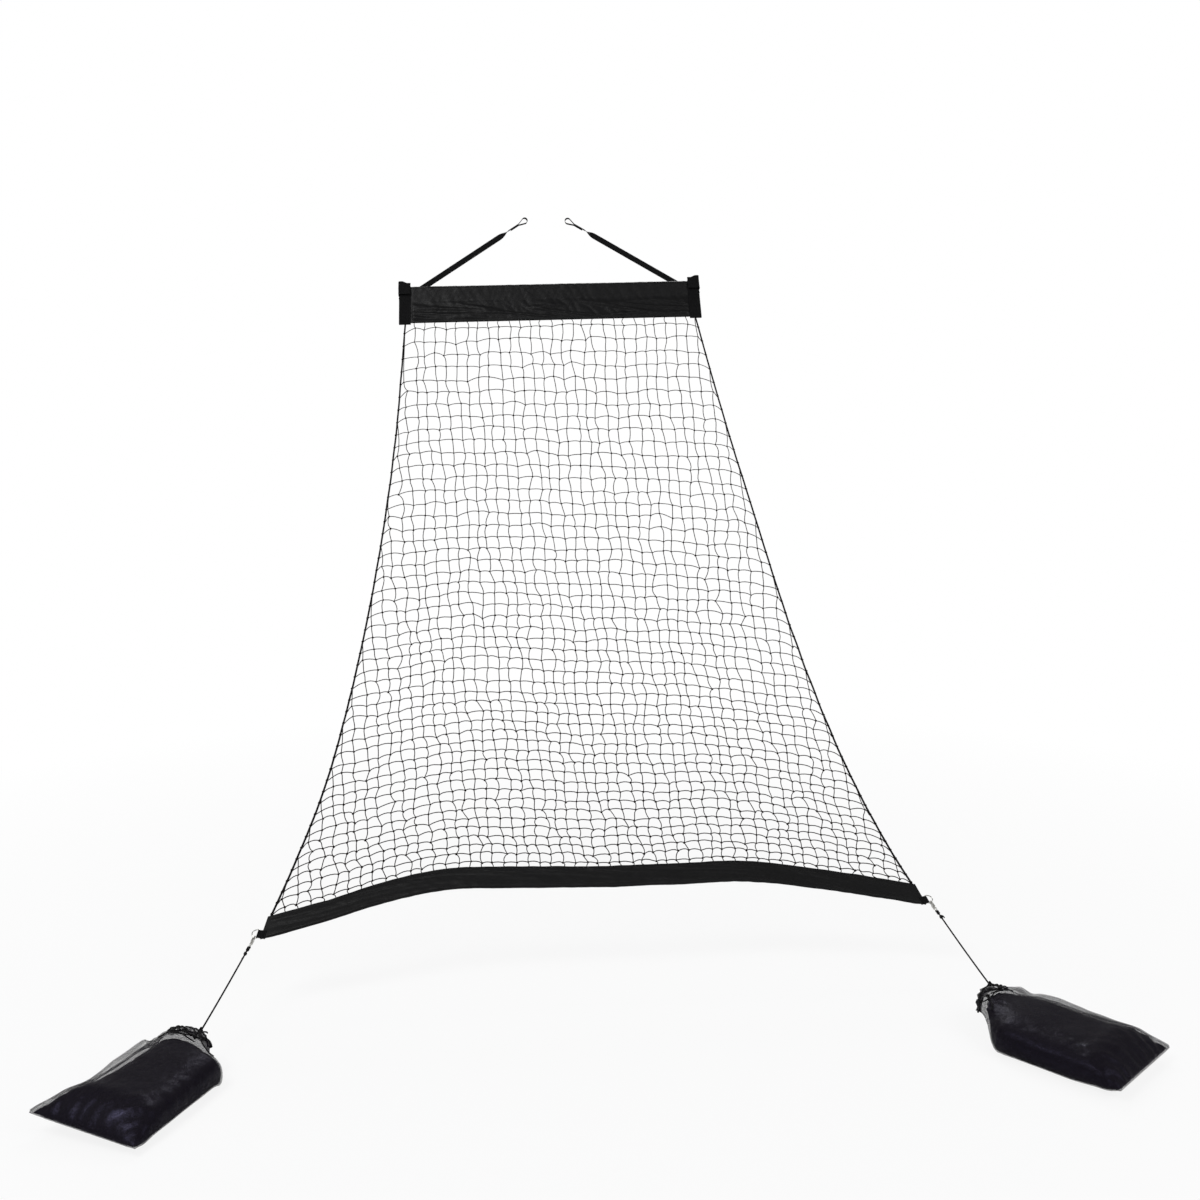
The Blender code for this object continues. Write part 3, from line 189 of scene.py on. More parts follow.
@dataclass(frozen=True)
class Layout:
    """The net's places and the sizes that its sub-assemblies share, as the frame has them."""

    floor: float = -2.72
    hang_span: float = 0.19
    bar_drop: float = 0.300
    bar_forward: float = 0.080
    bar_tilt: float = 1.36 * DEG
    bar_shift: float = 0.0125
    sleeve_length: float = 1.30
    sleeve_height: float = 0.175
    sleeve_pitch: float = 66.0 * DEG
    sleeve_outer: float = 14.0 * MM
    sleeve_bottom: float = -161.0 * MM
    panel_outer: float = 15.9 * MM
    rope_inset: float = 27.0 * MM
    rope_foot: float = 9.0 * MM
    hem_span: float = 2.143
    hem_shift: float = 0.1245
    hem_forward: float = 1.5715
    hem_skew: float = 0.103
    hem_rise: float = 0.215
    hem_height: float = 77.0 * MM
    hem_slant: float = 15.0 * MM
    hem_pitch: float = 36.0 * DEG
    hem_arch: float = 0.140
    tab_reach: float = 12.0 * MM
    ring_wire: float = 3.2 * MM
    ring_half: float = 14.6 * MM
    ring_depth: float = 19.0 * MM
    ring_contact: float = 69.0 * DEG
    ring_foot: float = 17.0 * MM
    mouth_height: float = 0.100
    rope_shares: tuple = (
        ((0.0, 0.0), (0.18, 0.075), (0.34, 0.187), (0.55, 0.38), (0.77, 0.63), (0.90, 0.835), (1.0, 1.0)),
        ((0.0, 0.0), (0.15, 0.17), (0.29, 0.325), (0.48, 0.505), (0.73, 0.74), (0.89, 0.895), (1.0, 1.0)))
    arch_shares: tuple = (
        (0.0, 0.0), (0.09, 0.37), (0.17, 0.76), (0.26, 1.03), (0.38, 1.0), (0.5, 0.91), (0.62, 0.89),
        (0.74, 0.86), (0.84, 0.58), (0.93, 0.27), (1.0, 0.0))
    lines: tuple = (LineSpec(1.041, 1.971, 23.5 * DEG, 0.030, 0.035),
                    LineSpec(1.272, 1.869, 40.5 * DEG, 0.050, 0.090))

    def bar(self) -> Matrix:
        """Return the bar's frame: X along it, -Z down the sleeve, Y towards the back."""
        place = Matrix.Translation((self.bar_shift, -self.bar_forward, -self.bar_drop))
        tilt = Matrix.Rotation(-self.bar_tilt, 4, "Y")
        return place @ tilt @ Matrix.Rotation(self.sleeve_pitch - 90.0 * DEG, 4, "X")

    def hem(self) -> Matrix:
        """Return the hem's frame: X along its chord, Y up the slope, Z off its upper face."""
        chord = Vector((math.sqrt(self.hem_span ** 2 - self.hem_skew ** 2), self.hem_skew, 0.0)).normalized()
        slope = Vector((0.0, math.cos(self.hem_pitch), math.sin(self.hem_pitch)))
        slope = (slope - chord * slope.dot(chord)).normalized()
        origin = Vector((self.hem_shift, -self.hem_forward, self.floor + self.hem_rise))
        return axes(origin, chord, slope, chord.cross(slope))

    def hem_point(self, share: float, up: float, out: float = 0.0) -> Vector:
        """Return a point of the hem.

        Args:
            share: How far along it, from 0 to 1.
            up: The height above its lower edge.
            out: The distance off its plane, upwards.

        Returns:
            The point in the row frame.
        """
        along = (share - 0.5) * self.hem_span + self.hem_slant * (1.0 - 2.0 * share) * up / self.hem_height
        arch = self.hem_arch * smooth_share(self.arch_shares, share)
        return self.hem() @ Vector((along, arch + up, out))

    def rope_share(self, side: Side) -> float:
        """Return where along the hem a side rope ends."""
        return 0.5 + side.sign * (0.5 - self.rope_foot / (self.hem_span - 2.0 * self.hem_slant))

    def rope_point(self, side: Side, share: float) -> Vector:
        """Return a point of a side rope's centre line, from the sleeve to the hem."""
        top = self.bar() @ Vector((side.sign * (self.sleeve_length / 2.0 - self.rope_inset), 0.0,
                                   self.sleeve_bottom))
        foot = self.hem_point(self.rope_share(side), self.hem_height)
        fall = (math.cos(self.sleeve_pitch), math.sin(self.sleeve_pitch))
        land = (math.cos(self.hem_pitch), math.sin(self.hem_pitch))
        forward, down = top.y - foot.y, top.z - foot.z
        reach = (forward * land[1] - down * land[0]) / (fall[0] * land[1] - fall[1] * land[0])
        middle = (top.y - reach * fall[0], top.z - reach * fall[1])
        back = 1.0 - share
        y, z = (back * back * a + 2.0 * back * share * b + share * share * c
                for a, b, c in ((top.y, middle[0], foot.y), (top.z, middle[1], foot.z)))
        return Vector((top.x + (foot.x - top.x) * smooth_share(side.pick(self.rope_shares), share), y, z))

    def net_point(self, across: float, down: float) -> Vector:
        """Return a point of the net between its four edges, from shares across it and down it."""
        tops = [self.rope_point(side, 0.0) for side in Side]
        ends = [self.rope_share(side) for side in Side]
        feet = [self.hem_point(share, self.hem_height) for share in ends]
        under = self.hem_point(ends[0] + (ends[1] - ends[0]) * across, self.hem_height)
        sides = self.rope_point(Side.LEFT, down).lerp(self.rope_point(Side.RIGHT, down), across)
        over = tops[0].lerp(tops[1], across)
        return over.lerp(under, down) + sides - over.lerp(feet[0].lerp(feet[1], across), down)

    def corner(self, side: Side) -> Matrix:
        """Return the frame of a lower corner of the hem: X along it, Y up its end edge, Z off it."""
        low, high = (self.hem_point(0.5 + side.sign * 0.5, up) for up in (0.0, self.hem_height))
        up = (high - low).normalized()
        off = self.hem().to_3x3() @ UP
        return axes(low, up.cross(off), up, off)

    def knot(self, side: Side) -> Vector:
        """Return the centre of the knot at a bag's mouth."""
        spec = side.pick(self.lines)
        return Vector((side.sign * spec.knot_across, -spec.knot_forward, self.floor + self.mouth_height))

    def line(self, side: Side) -> Matrix:
        """Return a line's frame: its origin on the D-ring's wire, Z back up the line, Y along the wire."""
        c, s = math.cos(self.ring_contact), math.sin(self.ring_contact)
        corner = self.corner(side)
        at = corner @ Vector((side.sign * (self.tab_reach + self.ring_depth * c),
                              self.ring_foot - self.ring_half * s, 0.0))
        along = corner.to_3x3() @ Vector((side.sign * self.ring_depth * s, self.ring_half * c, 0.0))
        along.normalize()
        up = (at - self.knot(side)).normalized()
        across = (along - up * along.dot(up)).normalized()
        return axes(at, across.cross(up), across, up)

    def bag(self, side: Side) -> Matrix:
        """Return a bag's frame: its origin on the ground under the knot, X from its mouth to its far seam."""
        turn = side.pick(self.lines).bag_turn
        away = Vector((side.sign * math.sin(turn), -math.cos(turn), 0.0))
        knot = self.knot(side)
        return axes(Vector((knot.x, knot.y, self.floor)), away, Vector((-away.y, away.x, 0.0)), UP)


PLAN = Layout()


# ---------------------------------------------------------------- finishes

def add_node(tree: bpy.types.NodeTree, kind: str, settings: dict | None = None, links: dict | None = None,
             out: str | int | None = None) -> Socket | None:
    """Add one node with its settings and links.

    Args:
        tree: The node tree that takes it.
        kind: The node's type name.
        settings: Values by input name, input number or attribute name.
        links: Output sockets by the name or number of the input they feed.
        out: The output to return, where that is neither the factor nor the first.

    Returns:
        One of the node's outputs, or None where it has none.
    """
    node = tree.nodes.new(kind)
    for key, value in (settings or {}).items():
        if isinstance(key, int) or key in node.inputs:
            node.inputs[key].default_value = value
        else:
            setattr(node, key, value)
    for key, source in (links or {}).items():
        tree.links.new(source, node.inputs[key])
    if not len(node.outputs):
        return None
    return node.outputs[("Fac" if "Fac" in node.outputs else 0) if out is None else out]


def band(pitch: float) -> float:
    """Return the Wave Texture scale at which bands along one axis repeat every pitch metres."""
    return TURN / (20.0 * pitch)


@dataclass(frozen=True)
class Finish:
    """A surface finish: a plain shader, and the pattern that a subclass adds to it."""

    name: str
    slot: str
    colour: str
    roughness: float
    specular: float = 0.5
    # The second tone that a finish's pattern mixes into its colour; on the woven cloth and the knitted mesh it
    # is a painted sheen.
    second_tone: str = "#2c2c2e"

    def make(self) -> bpy.types.Material:
        """Return the finish's material, made on its first use."""
        made = bpy.data.materials.get(self.name)
        if made is None:
            made = bpy.data.materials.new(self.name)
            made.use_nodes = True
            tree = made.node_tree
            shader = tree.nodes["Principled BSDF"]
            plain = {"Base Color": linear(self.colour), "Roughness": self.roughness,
                     "Specular IOR Level": self.specular}
            for key, value in (*plain.items(), *self.pattern(partial(add_node, tree)).items()):
                if isinstance(value, Socket):
                    tree.links.new(value, shader.inputs[key])
                else:
                    shader.inputs[key].default_value = value
        return made

    def pattern(self, add: Callable[..., Socket]) -> dict:
        """Return sockets and values for the shader's inputs, from nodes made by add."""
        return {}

    def tint(self, add: Callable[..., Socket], fleck: Socket, low: float, high: float, least: float = 0.0,
             most: float = 1.0, mask: Socket | None = None) -> Socket:
        """Return a colour that goes from the finish's own to its second tone, which is a painted sheen on the
        woven cloth and the knitted mesh.

        Args:
            add: What adds a node.
            fleck: The pattern that it follows.
            low: Where in the pattern the second tone starts.
            high: Where it is at its most.
            least: The share of the second tone at the start.
            most: The share of it at the most.
            mask: A pattern that the share is multiplied by.

        Returns:
            The colour.
        """
        tone = add("ShaderNodeMapRange", {1: low, 2: high, 3: least, 4: most}, {0: fleck})
        if mask is not None:
            tone = add("ShaderNodeMath", {"operation": "MULTIPLY"}, {0: tone, 1: mask})
        return add("ShaderNodeMix", {"data_type": "RGBA", 6: linear(self.colour), 7: linear(self.second_tone)},
                   {0: tone}, 2)

    def shine(self, add: Callable[..., Socket], fleck: Socket, first: float, last: float,
              span: Pair = (0.3, 0.7)) -> Socket:
        """Return a roughness that a pattern moves off the finish's own, from first to last over its span."""
        return add("ShaderNodeMapRange", {1: span[0], 2: span[1], 3: self.roughness + first,
                                          4: self.roughness + last}, {0: fleck})


@dataclass(frozen=True)
class WovenCloth(Finish):
    """Plain-weave polyester: threads over and under, a soft shine, and paler blotches that are a painted sheen
    standing in for light on its wrinkles.
    """

    thread: float = 1.1 * MM  # drawn about twice as coarse as 600-denier cloth, so that it shows
    relief: float = 0.12 * MM

    def pattern(self, add: Callable[..., Socket]) -> dict:
        """Cross two thread directions, and let a slow noise change the shine and paint paler blotches of sheen
        into the colour.
        """
        cut = add("ShaderNodeUVMap", {"uv_map": CUT})
        warp, weft = (add("ShaderNodeTexWave", {"Scale": band(self.thread), "bands_direction": way},
                          {"Vector": cut}) for way in "XY")
        weave = add("ShaderNodeMath", {"operation": "MAXIMUM"}, {0: warp, 1: weft})
        slub = add("ShaderNodeTexNoise", {"Scale": 900.0, "Detail": 2.0}, {"Vector": cut})
        height = add("ShaderNodeMath", {"operation": "MULTIPLY_ADD", 1: 0.35}, {0: slub, 2: weave})
        blotches = add("ShaderNodeTexNoise", {"Scale": 38.0, "Detail": 5.0, "Roughness": 0.6}, {"Vector": cut})
        # Painted sheen: the slow noise lightens the colour in blotches, in place of light on the wrinkles.
        return {"Base Color": self.tint(add, blotches, 0.38, 0.68),
                "Roughness": self.shine(add, blotches, 0.08, -0.08),
                "Normal": add("ShaderNodeBump", {"Strength": 0.7, "Distance": self.relief},
                              {"Height": height})}


@dataclass(frozen=True)
class Webbing(Finish):
    """Woven polypropylene tape: ribs across its length, and finer threads along it."""

    rib: float = 1.8 * MM
    relief: float = 0.28 * MM

    def pattern(self, add: Callable[..., Socket]) -> dict:
        """Raise ribs across the tape and finer threads along it."""
        cut = add("ShaderNodeUVMap", {"uv_map": CUT})
        ribs = add("ShaderNodeTexWave", {"Scale": band(self.rib), "bands_direction": "X", "Distortion": 0.6,
                                         "Detail": 1.0}, {"Vector": cut})
        threads = add("ShaderNodeTexWave", {"Scale": band(self.rib * 0.7), "bands_direction": "Y"},
                      {"Vector": cut})
        height = add("ShaderNodeMath", {"operation": "MULTIPLY_ADD", 1: 0.6}, {0: threads, 2: ribs})
        blotches = add("ShaderNodeTexNoise", {"Scale": 90.0, "Detail": 4.0}, {"Vector": cut})
        return {"Base Color": self.tint(add, blotches, 0.35, 0.7, 0.2, 1.0, ribs),
                "Roughness": self.shine(add, blotches, 0.0, -0.14),
                "Normal": add("ShaderNodeBump", {"Strength": 1.0, "Distance": self.relief},
                              {"Height": height})}


@dataclass(frozen=True)
class LaidTwine(Finish):
    """Twisted or braided nylon: strands that cross the cord at a slant."""

    strand: float = 1.2 * MM
    braided: bool = False

    def pattern(self, add: Callable[..., Socket]) -> dict:
        """Draw the strands on the cord's own length and girth."""
        cut = add("ShaderNodeUVMap", {"uv_map": CUT})
        slant = {"Scale": TURN / (10.0 * self.strand * math.sqrt(2.0)), "bands_direction": "DIAGONAL"}
        height = add("ShaderNodeTexWave", slant, {"Vector": cut})
        if self.braided:
            mirrored = add("ShaderNodeMapping", {"Scale": (1.0, -1.0, 1.0)}, {"Vector": cut})
            other = add("ShaderNodeTexWave", slant, {"Vector": mirrored})
            height = add("ShaderNodeMath", {"operation": "MULTIPLY"}, {0: height, 1: other})
        fibre = add("ShaderNodeTexNoise", {"Scale": 260.0, "Detail": 3.0},
                    {"Vector": add("ShaderNodeTexCoord", out="Object")})
        return {"Base Color": self.tint(add, fibre, 0.3, 0.7, 0.4, 1.0, height),
                "Roughness": self.shine(add, fibre, 0.1, -0.1),
                "Normal": add("ShaderNodeBump", {"Strength": 1.0, "Distance": 0.3 * self.strand},
                              {"Height": height})}


@dataclass(frozen=True)
class BrightMetal(Finish):
    """Bare or plated metal: a clean mirror broken by handling marks and, if drawn, by long lines."""

    second_tone: str = "#8f9092"
    drawn: bool = False

    def pattern(self, add: Callable[..., Socket]) -> dict:
        """Vary the shine by slow smudges and fine scratches."""
        at = add("ShaderNodeTexCoord", out="Object")
        smudge = add("ShaderNodeTexNoise", {"Scale": 220.0, "Detail": 4.0}, {"Vector": at})
        stretch = (6.0, 900.0, 900.0) if self.drawn else (160.0, 1400.0, 300.0)
        along = add("ShaderNodeMapping", {"Scale": stretch}, {"Vector": at})
        scratch = add("ShaderNodeTexNoise", {"Scale": 1.0, "Detail": 3.0}, {"Vector": along})
        both = add("ShaderNodeMath", {"operation": "MULTIPLY"}, {0: smudge, 1: scratch})
        return {"Metallic": 1.0, "Base Color": self.tint(add, smudge, 0.55, 0.75, 0.0, 0.7),
                "Roughness": self.shine(add, both, -0.07, 0.16, (0.12, 0.42)),
                "Normal": add("ShaderNodeBump", {"Strength": 0.5, "Distance": 0.02 * MM},
                              {"Height": scratch})}


@dataclass(frozen=True)
class MouldedPlastic(Finish):
    """Moulded polyethylene: a fine spark-eroded grain, a little worn."""

    def pattern(self, add: Callable[..., Socket]) -> dict:
        """Add the mould's grain and scuffs."""
        at = add("ShaderNodeTexCoord", out="Object")
        grain = add("ShaderNodeTexNoise", {"Scale": 1600.0, "Detail": 2.0}, {"Vector": at})
        scuff = add("ShaderNodeTexNoise", {"Scale": 120.0, "Detail": 5.0}, {"Vector": at})
        return {"Base Color": self.tint(add, scuff, 0.5, 0.75),
                "Roughness": self.shine(add, scuff, 0.0, 0.15),
                "Normal": add("ShaderNodeBump", {"Strength": 0.6, "Distance": 0.06 * MM}, {"Height": grain})}


@dataclass(frozen=True)
class KnittedMesh(Finish):
    """Black knitted mesh: round holes in rows, so what lies behind it shows as through a veil."""

    pitch: float = 2.4 * MM  # drawn about twice as coarse as the real holes, so that it shows
    open_share: float = 1.0

    def pattern(self, add: Callable[..., Socket]) -> dict:
        """Cut the holes by alpha, raise the yarn between them, and paint a paler sheen on the yarn by a noise.
        """
        cut = add("ShaderNodeUVMap", {"uv_map": CUT})
        rows, columns = (add("ShaderNodeTexWave", {"Scale": band(self.pitch), "bands_direction": way},
                             {"Vector": cut}) for way in "XY")
        hole = add("ShaderNodeMath", {"operation": "MULTIPLY"}, {0: rows, 1: columns})
        yarn = add("ShaderNodeTexNoise", {"Scale": 700.0, "Detail": 3.0}, {"Vector": cut})
        height = add("ShaderNodeMath", {"operation": "SUBTRACT"}, {0: yarn, 1: hole})
        # Painted sheen: the yarn noise mixes the paler lit tone into the mesh's colour.
        return {"Alpha": add("ShaderNodeMapRange", {1: 0.09, 2: 0.17, 3: 1.0, 4: 1.0 - self.open_share},
                             {0: hole}),
                "Base Color": self.tint(add, yarn, 0.35, 0.7),
                "Normal": add("ShaderNodeBump", {"Strength": 1.0, "Distance": 0.2 * MM}, {"Height": height})}


@dataclass(frozen=True)
class CoatedCloth(Finish):
    """Vinyl-coated cloth: a glossy skin over a fine weave, with creases that catch the light."""

    sheen: str = "#b4afe0"

    def pattern(self, add: Callable[..., Socket]) -> dict:
        """Let the cloth's weave and small creases show through the coating."""
        at = add("ShaderNodeTexCoord", out="Object")
        crease = add("ShaderNodeTexNoise", {"Scale": 26.0, "Detail": 6.0, "Roughness": 0.55,
                                            "Distortion": 0.8}, {"Vector": at})
        fine = add("ShaderNodeTexNoise", {"Scale": 420.0, "Detail": 2.0}, {"Vector": at})
        height = add("ShaderNodeMath", {"operation": "MULTIPLY_ADD", 1: 0.05}, {0: fine, 2: crease})
        return {"Base Color": self.tint(add, crease, 0.4, 0.7),
                "Roughness": self.shine(add, fine, -0.05, 0.1),
                "Specular Tint": linear(self.sheen),
                "Normal": add("ShaderNodeBump", {"Strength": 0.55, "Distance": 5.0 * MM}, {"Height": height})}


@dataclass(frozen=True)
class Cellular(Finish):
    """Something made of small separate bits: grains of sand, or a pile of hooks."""

    scale: float = 700.0
    relief: float = 0.9 * MM
    by: str = "Distance"
    sheen: float = 0.0

    def pattern(self, add: Callable[..., Socket]) -> dict:
        """Colour and raise each bit."""
        cells = add("ShaderNodeTexVoronoi", {"Scale": self.scale},
                    {"Vector": add("ShaderNodeTexCoord", out="Object")}).node.outputs
        return {"Base Color": add("ShaderNodeMix", {"data_type": "RGBA", 6: linear(self.colour),
                                                    7: linear(self.second_tone)}, {0: cells[self.by]}, 2),
                "Sheen Weight": self.sheen,
                "Normal": add("ShaderNodeBump", {"Strength": 1.0, "Distance": self.relief},
                              {"Height": cells["Distance"]})}


# Black 600-denier polyester, plain woven: near black, with a soft shine on the crests of its wrinkles, and a
# paler second tone that is painted sheen in blotches
POLYESTER = WovenCloth("woven_polyester", "sleeve_cloth", "#070708", 0.44, 0.2, "#0c0c0d")
# Polypropylene webbing, woven in ribs: flat black, paler on the ribs where it has rubbed
TAPE = Webbing("polypropylene_webbing", "webbing", "#09090a", 0.66, 0.08, "#161617")
# Twisted nylon twine: brown-black and dull, with slanting strands
TWINE = LaidTwine("twisted_nylon_twine", "net_twine", "#18110f", 0.62, 0.12, "#2a211e", strand=0.9 * MM)
# Braided nylon cord: crossing strands that give it a fine check
BRAID = LaidTwine("braided_nylon_cord", "rope", "#0c0b0d", 0.58, 0.15, "#201f22", strand=1.6 * MM,
                  braided=True)
# Bonded nylon sewing thread: a shade paler than the cloth, so that the stitches just show
THREAD = LaidTwine("sewing_thread", "webbing", "#141416", 0.5, 0.2, "#29282c", strand=0.4 * MM)
# Nickel-plated steel, tumbled before plating: a bright mirror with a warm tone and soft smudges
NICKEL = BrightMetal("nickel_plated_steel", "plated_steel", "#d2d1cc", 0.2)
# Spring steel wire, drawn and left bare: greyer and duller than the plating
SPRING = BrightMetal("spring_steel", "plated_steel", "#a9abac", 0.3)
# Drawn aluminium tube: a grey satin with long lines along it
TUBE = BrightMetal("drawn_aluminium", "tube", "#c3c6c8", 0.34, drawn=True)
# Moulded polyethylene: black, waxy, with a fine grain
CAP = MouldedPlastic("moulded_polyethylene", "cap_plastic", "#161617", 0.5, 0.4)
# Knitted polyester mesh: a lilac-black veil, denser where it lies double, with its paler second tone a painted
# sheen on the yarn
MESH = KnittedMesh("knitted_mesh", "mesh_cloth", "#0e0b11", 0.6, 0.1, "#221c29")
# The same mesh doubled back at the mouth: half closed, with the same painted sheen on its yarn
MESH_HEM = KnittedMesh("doubled_mesh", "mesh_cloth", "#0c0a0e", 0.6, 0.1, "#1c171f", open_share=0.45)
# Vinyl-coated polyester: black, with bluish highlights on its creases
VINYL = CoatedCloth("vinyl_coated_cloth", "pouch_vinyl", "#050506", 0.28, 0.36, "#08070a")
# Dry play sand: warm, matt, grains of mixed colours
SAND = Cellular("dry_sand", "sand", "#a8926c", 0.9, second_tone="#6e5a3e", scale=900.0, relief=0.6 * MM, by="Color")
# Hook-and-loop tape of nylon: a dense dull pile
PILE = Cellular("hook_and_loop_tape", "webbing", "#2f2f33", 0.8, 0.1, "#0e0e10", sheen=0.3)


# ---------------------------------------------------------------- shapes

def placed(name: str, data: bpy.types.ID) -> Item:
    """Return a new object in the scene for some data."""
    item = bpy.data.objects.new(name, data)
    bpy.context.scene.collection.objects.link(item)
    return item


def swept(path: Path, radius: float | Callable[[float], float], sides: int = 12,
          closed: bool = False) -> Rings:
    """Return rings of points round a path.

    Args:
        path: The centre line.
        radius: The tube's radius, or a function of the share of its length.
        sides: How many points a ring has.
        closed: Whether the path joins itself.

    Returns:
        One ring for each point, turned as little as may be from the one before.
    """
    rings, normal = [], None
    for k, (here, run) in enumerate(zip(path, runs(path, closed))):
        if normal is None:
            normal = run.orthogonal()
        normal = (normal - run * normal.dot(run)).normalized()
        other = run.cross(normal)
        size = radius(k / (len(path) - 1)) if callable(radius) else radius
        rings.append([here + (normal * math.cos(a) + other * math.sin(a)) * size for a in round_turn(sides)])
    return rings


class Shape:
    """A mesh in the making, with its cut laid out in metres."""

    def __init__(self) -> None:
        """Start with nothing."""
        self.work = bmesh.new()
        self.cut = self.work.loops.layers.uv.new(CUT)

    def add_grid(self, rows: Sequence[Path], around: bool = False, along: bool = False,
                 caps: bool = False) -> "Shape":
        """Skin rows of points; the cut's X runs from row to row and its Y along a row.

        Args:
            rows: Rows of equally many points.
            around: Whether each row closes on itself.
            along: Whether the last row joins the first.
            caps: Whether the first and last row are closed with a face.

        Returns:
            This shape, so that calls can follow each other.
        """
        total, count = len(rows), len(rows[0])
        verts = [[self.work.verts.new(point) for point in row] for row in rows]
        middle = rows[total // 2]
        across, run = [0.0], [0.0]
        for k in range(count):
            across.append(across[-1] + (middle[(k + 1) % count] - middle[k]).length)
        for k in range(total):
            run.append(run[-1] + sum((b - a).length for a, b in zip(rows[k], rows[(k + 1) % total])) / count)
        for i in range(total if along else total - 1):
            for j in range(count if around else count - 1):
                ring, after = verts[i], verts[(i + 1) % total]
                face = self.work.faces.new((ring[j], ring[(j + 1) % count], after[(j + 1) % count], after[j]))
                for loop, (a, b) in zip(face.loops, ((j, i), (j + 1, i), (j + 1, i + 1), (j, i + 1))):
                    loop[self.cut].uv = (run[b], across[a])
        if caps:
            self.work.faces.new(verts[0])
            self.work.faces.new(verts[-1])
        return self

    def add_tube(self, path: Path, radius: float | Callable[[float], float], sides: int = 12,
                 closed: bool = False) -> "Shape":
        """Skin a tube with closed ends round a path, or one that joins itself."""
        return self.add_grid(swept(path, radius, sides, closed), True, closed, not closed)

    def build(self, name: str, crease: float = 50.0 * DEG) -> Item:
        """Turn the shape into an object at the origin, smooth but for its creases."""
        bmesh.ops.recalc_face_normals(self.work, faces=self.work.faces)
        mesh = bpy.data.meshes.new(name)
        self.work.to_mesh(mesh)
        self.work.free()
        mesh.shade_smooth()
        mesh.set_sharp_from_angle(angle=crease)
        return placed(name, mesh)


def skin(name: str, rings: Rings, crease: float = 50.0 * DEG) -> Item:
    """Build a closed skin over rings, with a face at each end."""
    return Shape().add_grid(rings, around=True, caps=True).build(name, crease)


def sheeted(name: str, rows: Rings, thickness: float) -> Item:
    """Build one cloth of a thickness over rows of points."""
    item = Shape().add_grid(rows).build(name, SMOOTH)
    wall = item.modifiers.new("cloth", "SOLIDIFY")
    wall.thickness, wall.offset = thickness, 0.0
    return item


def coat(item: Item, finish: Finish) -> None:
    """Give an object one finish."""
    item.data.materials.clear()
    item.data.materials.append(finish.make())


def settle(item: Item, finish: Finish, *nodes: str, body: str = "root", slot: str = "") -> Item:
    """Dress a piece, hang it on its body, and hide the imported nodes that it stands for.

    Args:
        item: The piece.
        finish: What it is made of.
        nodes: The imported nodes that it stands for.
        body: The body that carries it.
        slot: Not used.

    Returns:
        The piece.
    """
    coat(item, finish)
    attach(item, body)
    if nodes:
        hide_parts(*nodes)
    LOG.info("%s on %s: %d faces of %s", item.name, body, len(item.data.polygons), finish.name)
    return item


def dress_node(name: str, finish: Finish) -> None:
    """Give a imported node's own object a finish."""
    coat(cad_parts[name], finish)
    LOG.info("%s keeps its packed shape, in %s", name, finish.name)


def tape_section(width: float, thickness: float) -> list[Pair]:
    """Return the outline of a flat tape with soft selvages, as pairs along its width and off its face."""
    spots = [(-0.5, 0.62), (-0.47, 0.94), (-0.40, 1.0), (-0.2, 0.96), (0.0, 0.96), (0.2, 0.96), (0.40, 1.0),
             (0.47, 0.94), (0.5, 0.62)]
    over = [(width * a, thickness / 2.0 * b) for a, b in spots]
    return over + [(a, -b) for a, b in reversed(over)]


def tape(path: Path, across: Vector | Path, width: float, thickness: float) -> Shape:
    """Return the shape of a tape that follows a path.

    Args:
        path: The tape's centre line.
        across: The direction of its width, one for all points or one for each.
        width: Its width.
        thickness: Its thickness.

    Returns:
        The closed shape.
    """
    section = tape_section(width, thickness)
    ways = [across] * len(path) if isinstance(across, Vector) else across
    rings = []
    for here, run, way in zip(path, runs(path), ways):
        side = (way - run * way.dot(run)).normalized()
        off = run.cross(side)
        rings.append([here + side * a + off * b for a, b in section])
    return Shape().add_grid(rings, around=True, caps=True)


def fold(radius: float, half: float, bottom: float, taper: float, steps: int) -> list[Pair]:
    """Return the middle line of a cloth folded over a round core.

    Args:
        radius: The fold's radius.
        half: Its distance from the middle below the taper.
        bottom: The level of its free edges.
        taper: How far below the core it takes to close.
        steps: How many steps each straight side takes.

    Returns:
        Points as (y, z) pairs, from the back edge over the core to the front edge.
    """
    slant = math.atan2(radius - half, taper)
    over = arc((0.0, 0.0), radius, -slant, math.pi + slant, max(steps // 2, 8))
    low, knee, top = Vector((half, bottom)), Vector((half, -taper)), Vector(over[0])
    first = [tuple(low.lerp(knee, t)) for t in shares(steps)]
    first += [tuple(knee.lerp(top, t)) for t in shares(max(steps // 2, 2))[1:-1]]
    return first + over + [(-y, z) for y, z in reversed(first)]


# ---------------------------------------------------------------- what repeats

def begin_tree(name: str, **sizes: float) -> tuple[bpy.types.NodeTree, Callable[..., Socket], Sequence]:
    """Start a Geometry Nodes tree with named sizes.

    Args:
        name: The tree's name.
        sizes: Its named inputs with their first values.

    Returns:
        The tree, what adds a node to it, and the outputs of its input node.
    """
    tree = bpy.data.node_groups.new(name, "GeometryNodeTree")
    tree.interface.new_socket("Paths", in_out="INPUT", socket_type="NodeSocketGeometry")
    for key, value in sizes.items():
        tree.interface.new_socket(key, in_out="INPUT", socket_type="NodeSocketFloat").default_value = value
    tree.interface.new_socket("Geometry", in_out="OUTPUT", socket_type="NodeSocketGeometry")
    add = partial(add_node, tree)
    return tree, add, add("NodeGroupInput").node.outputs


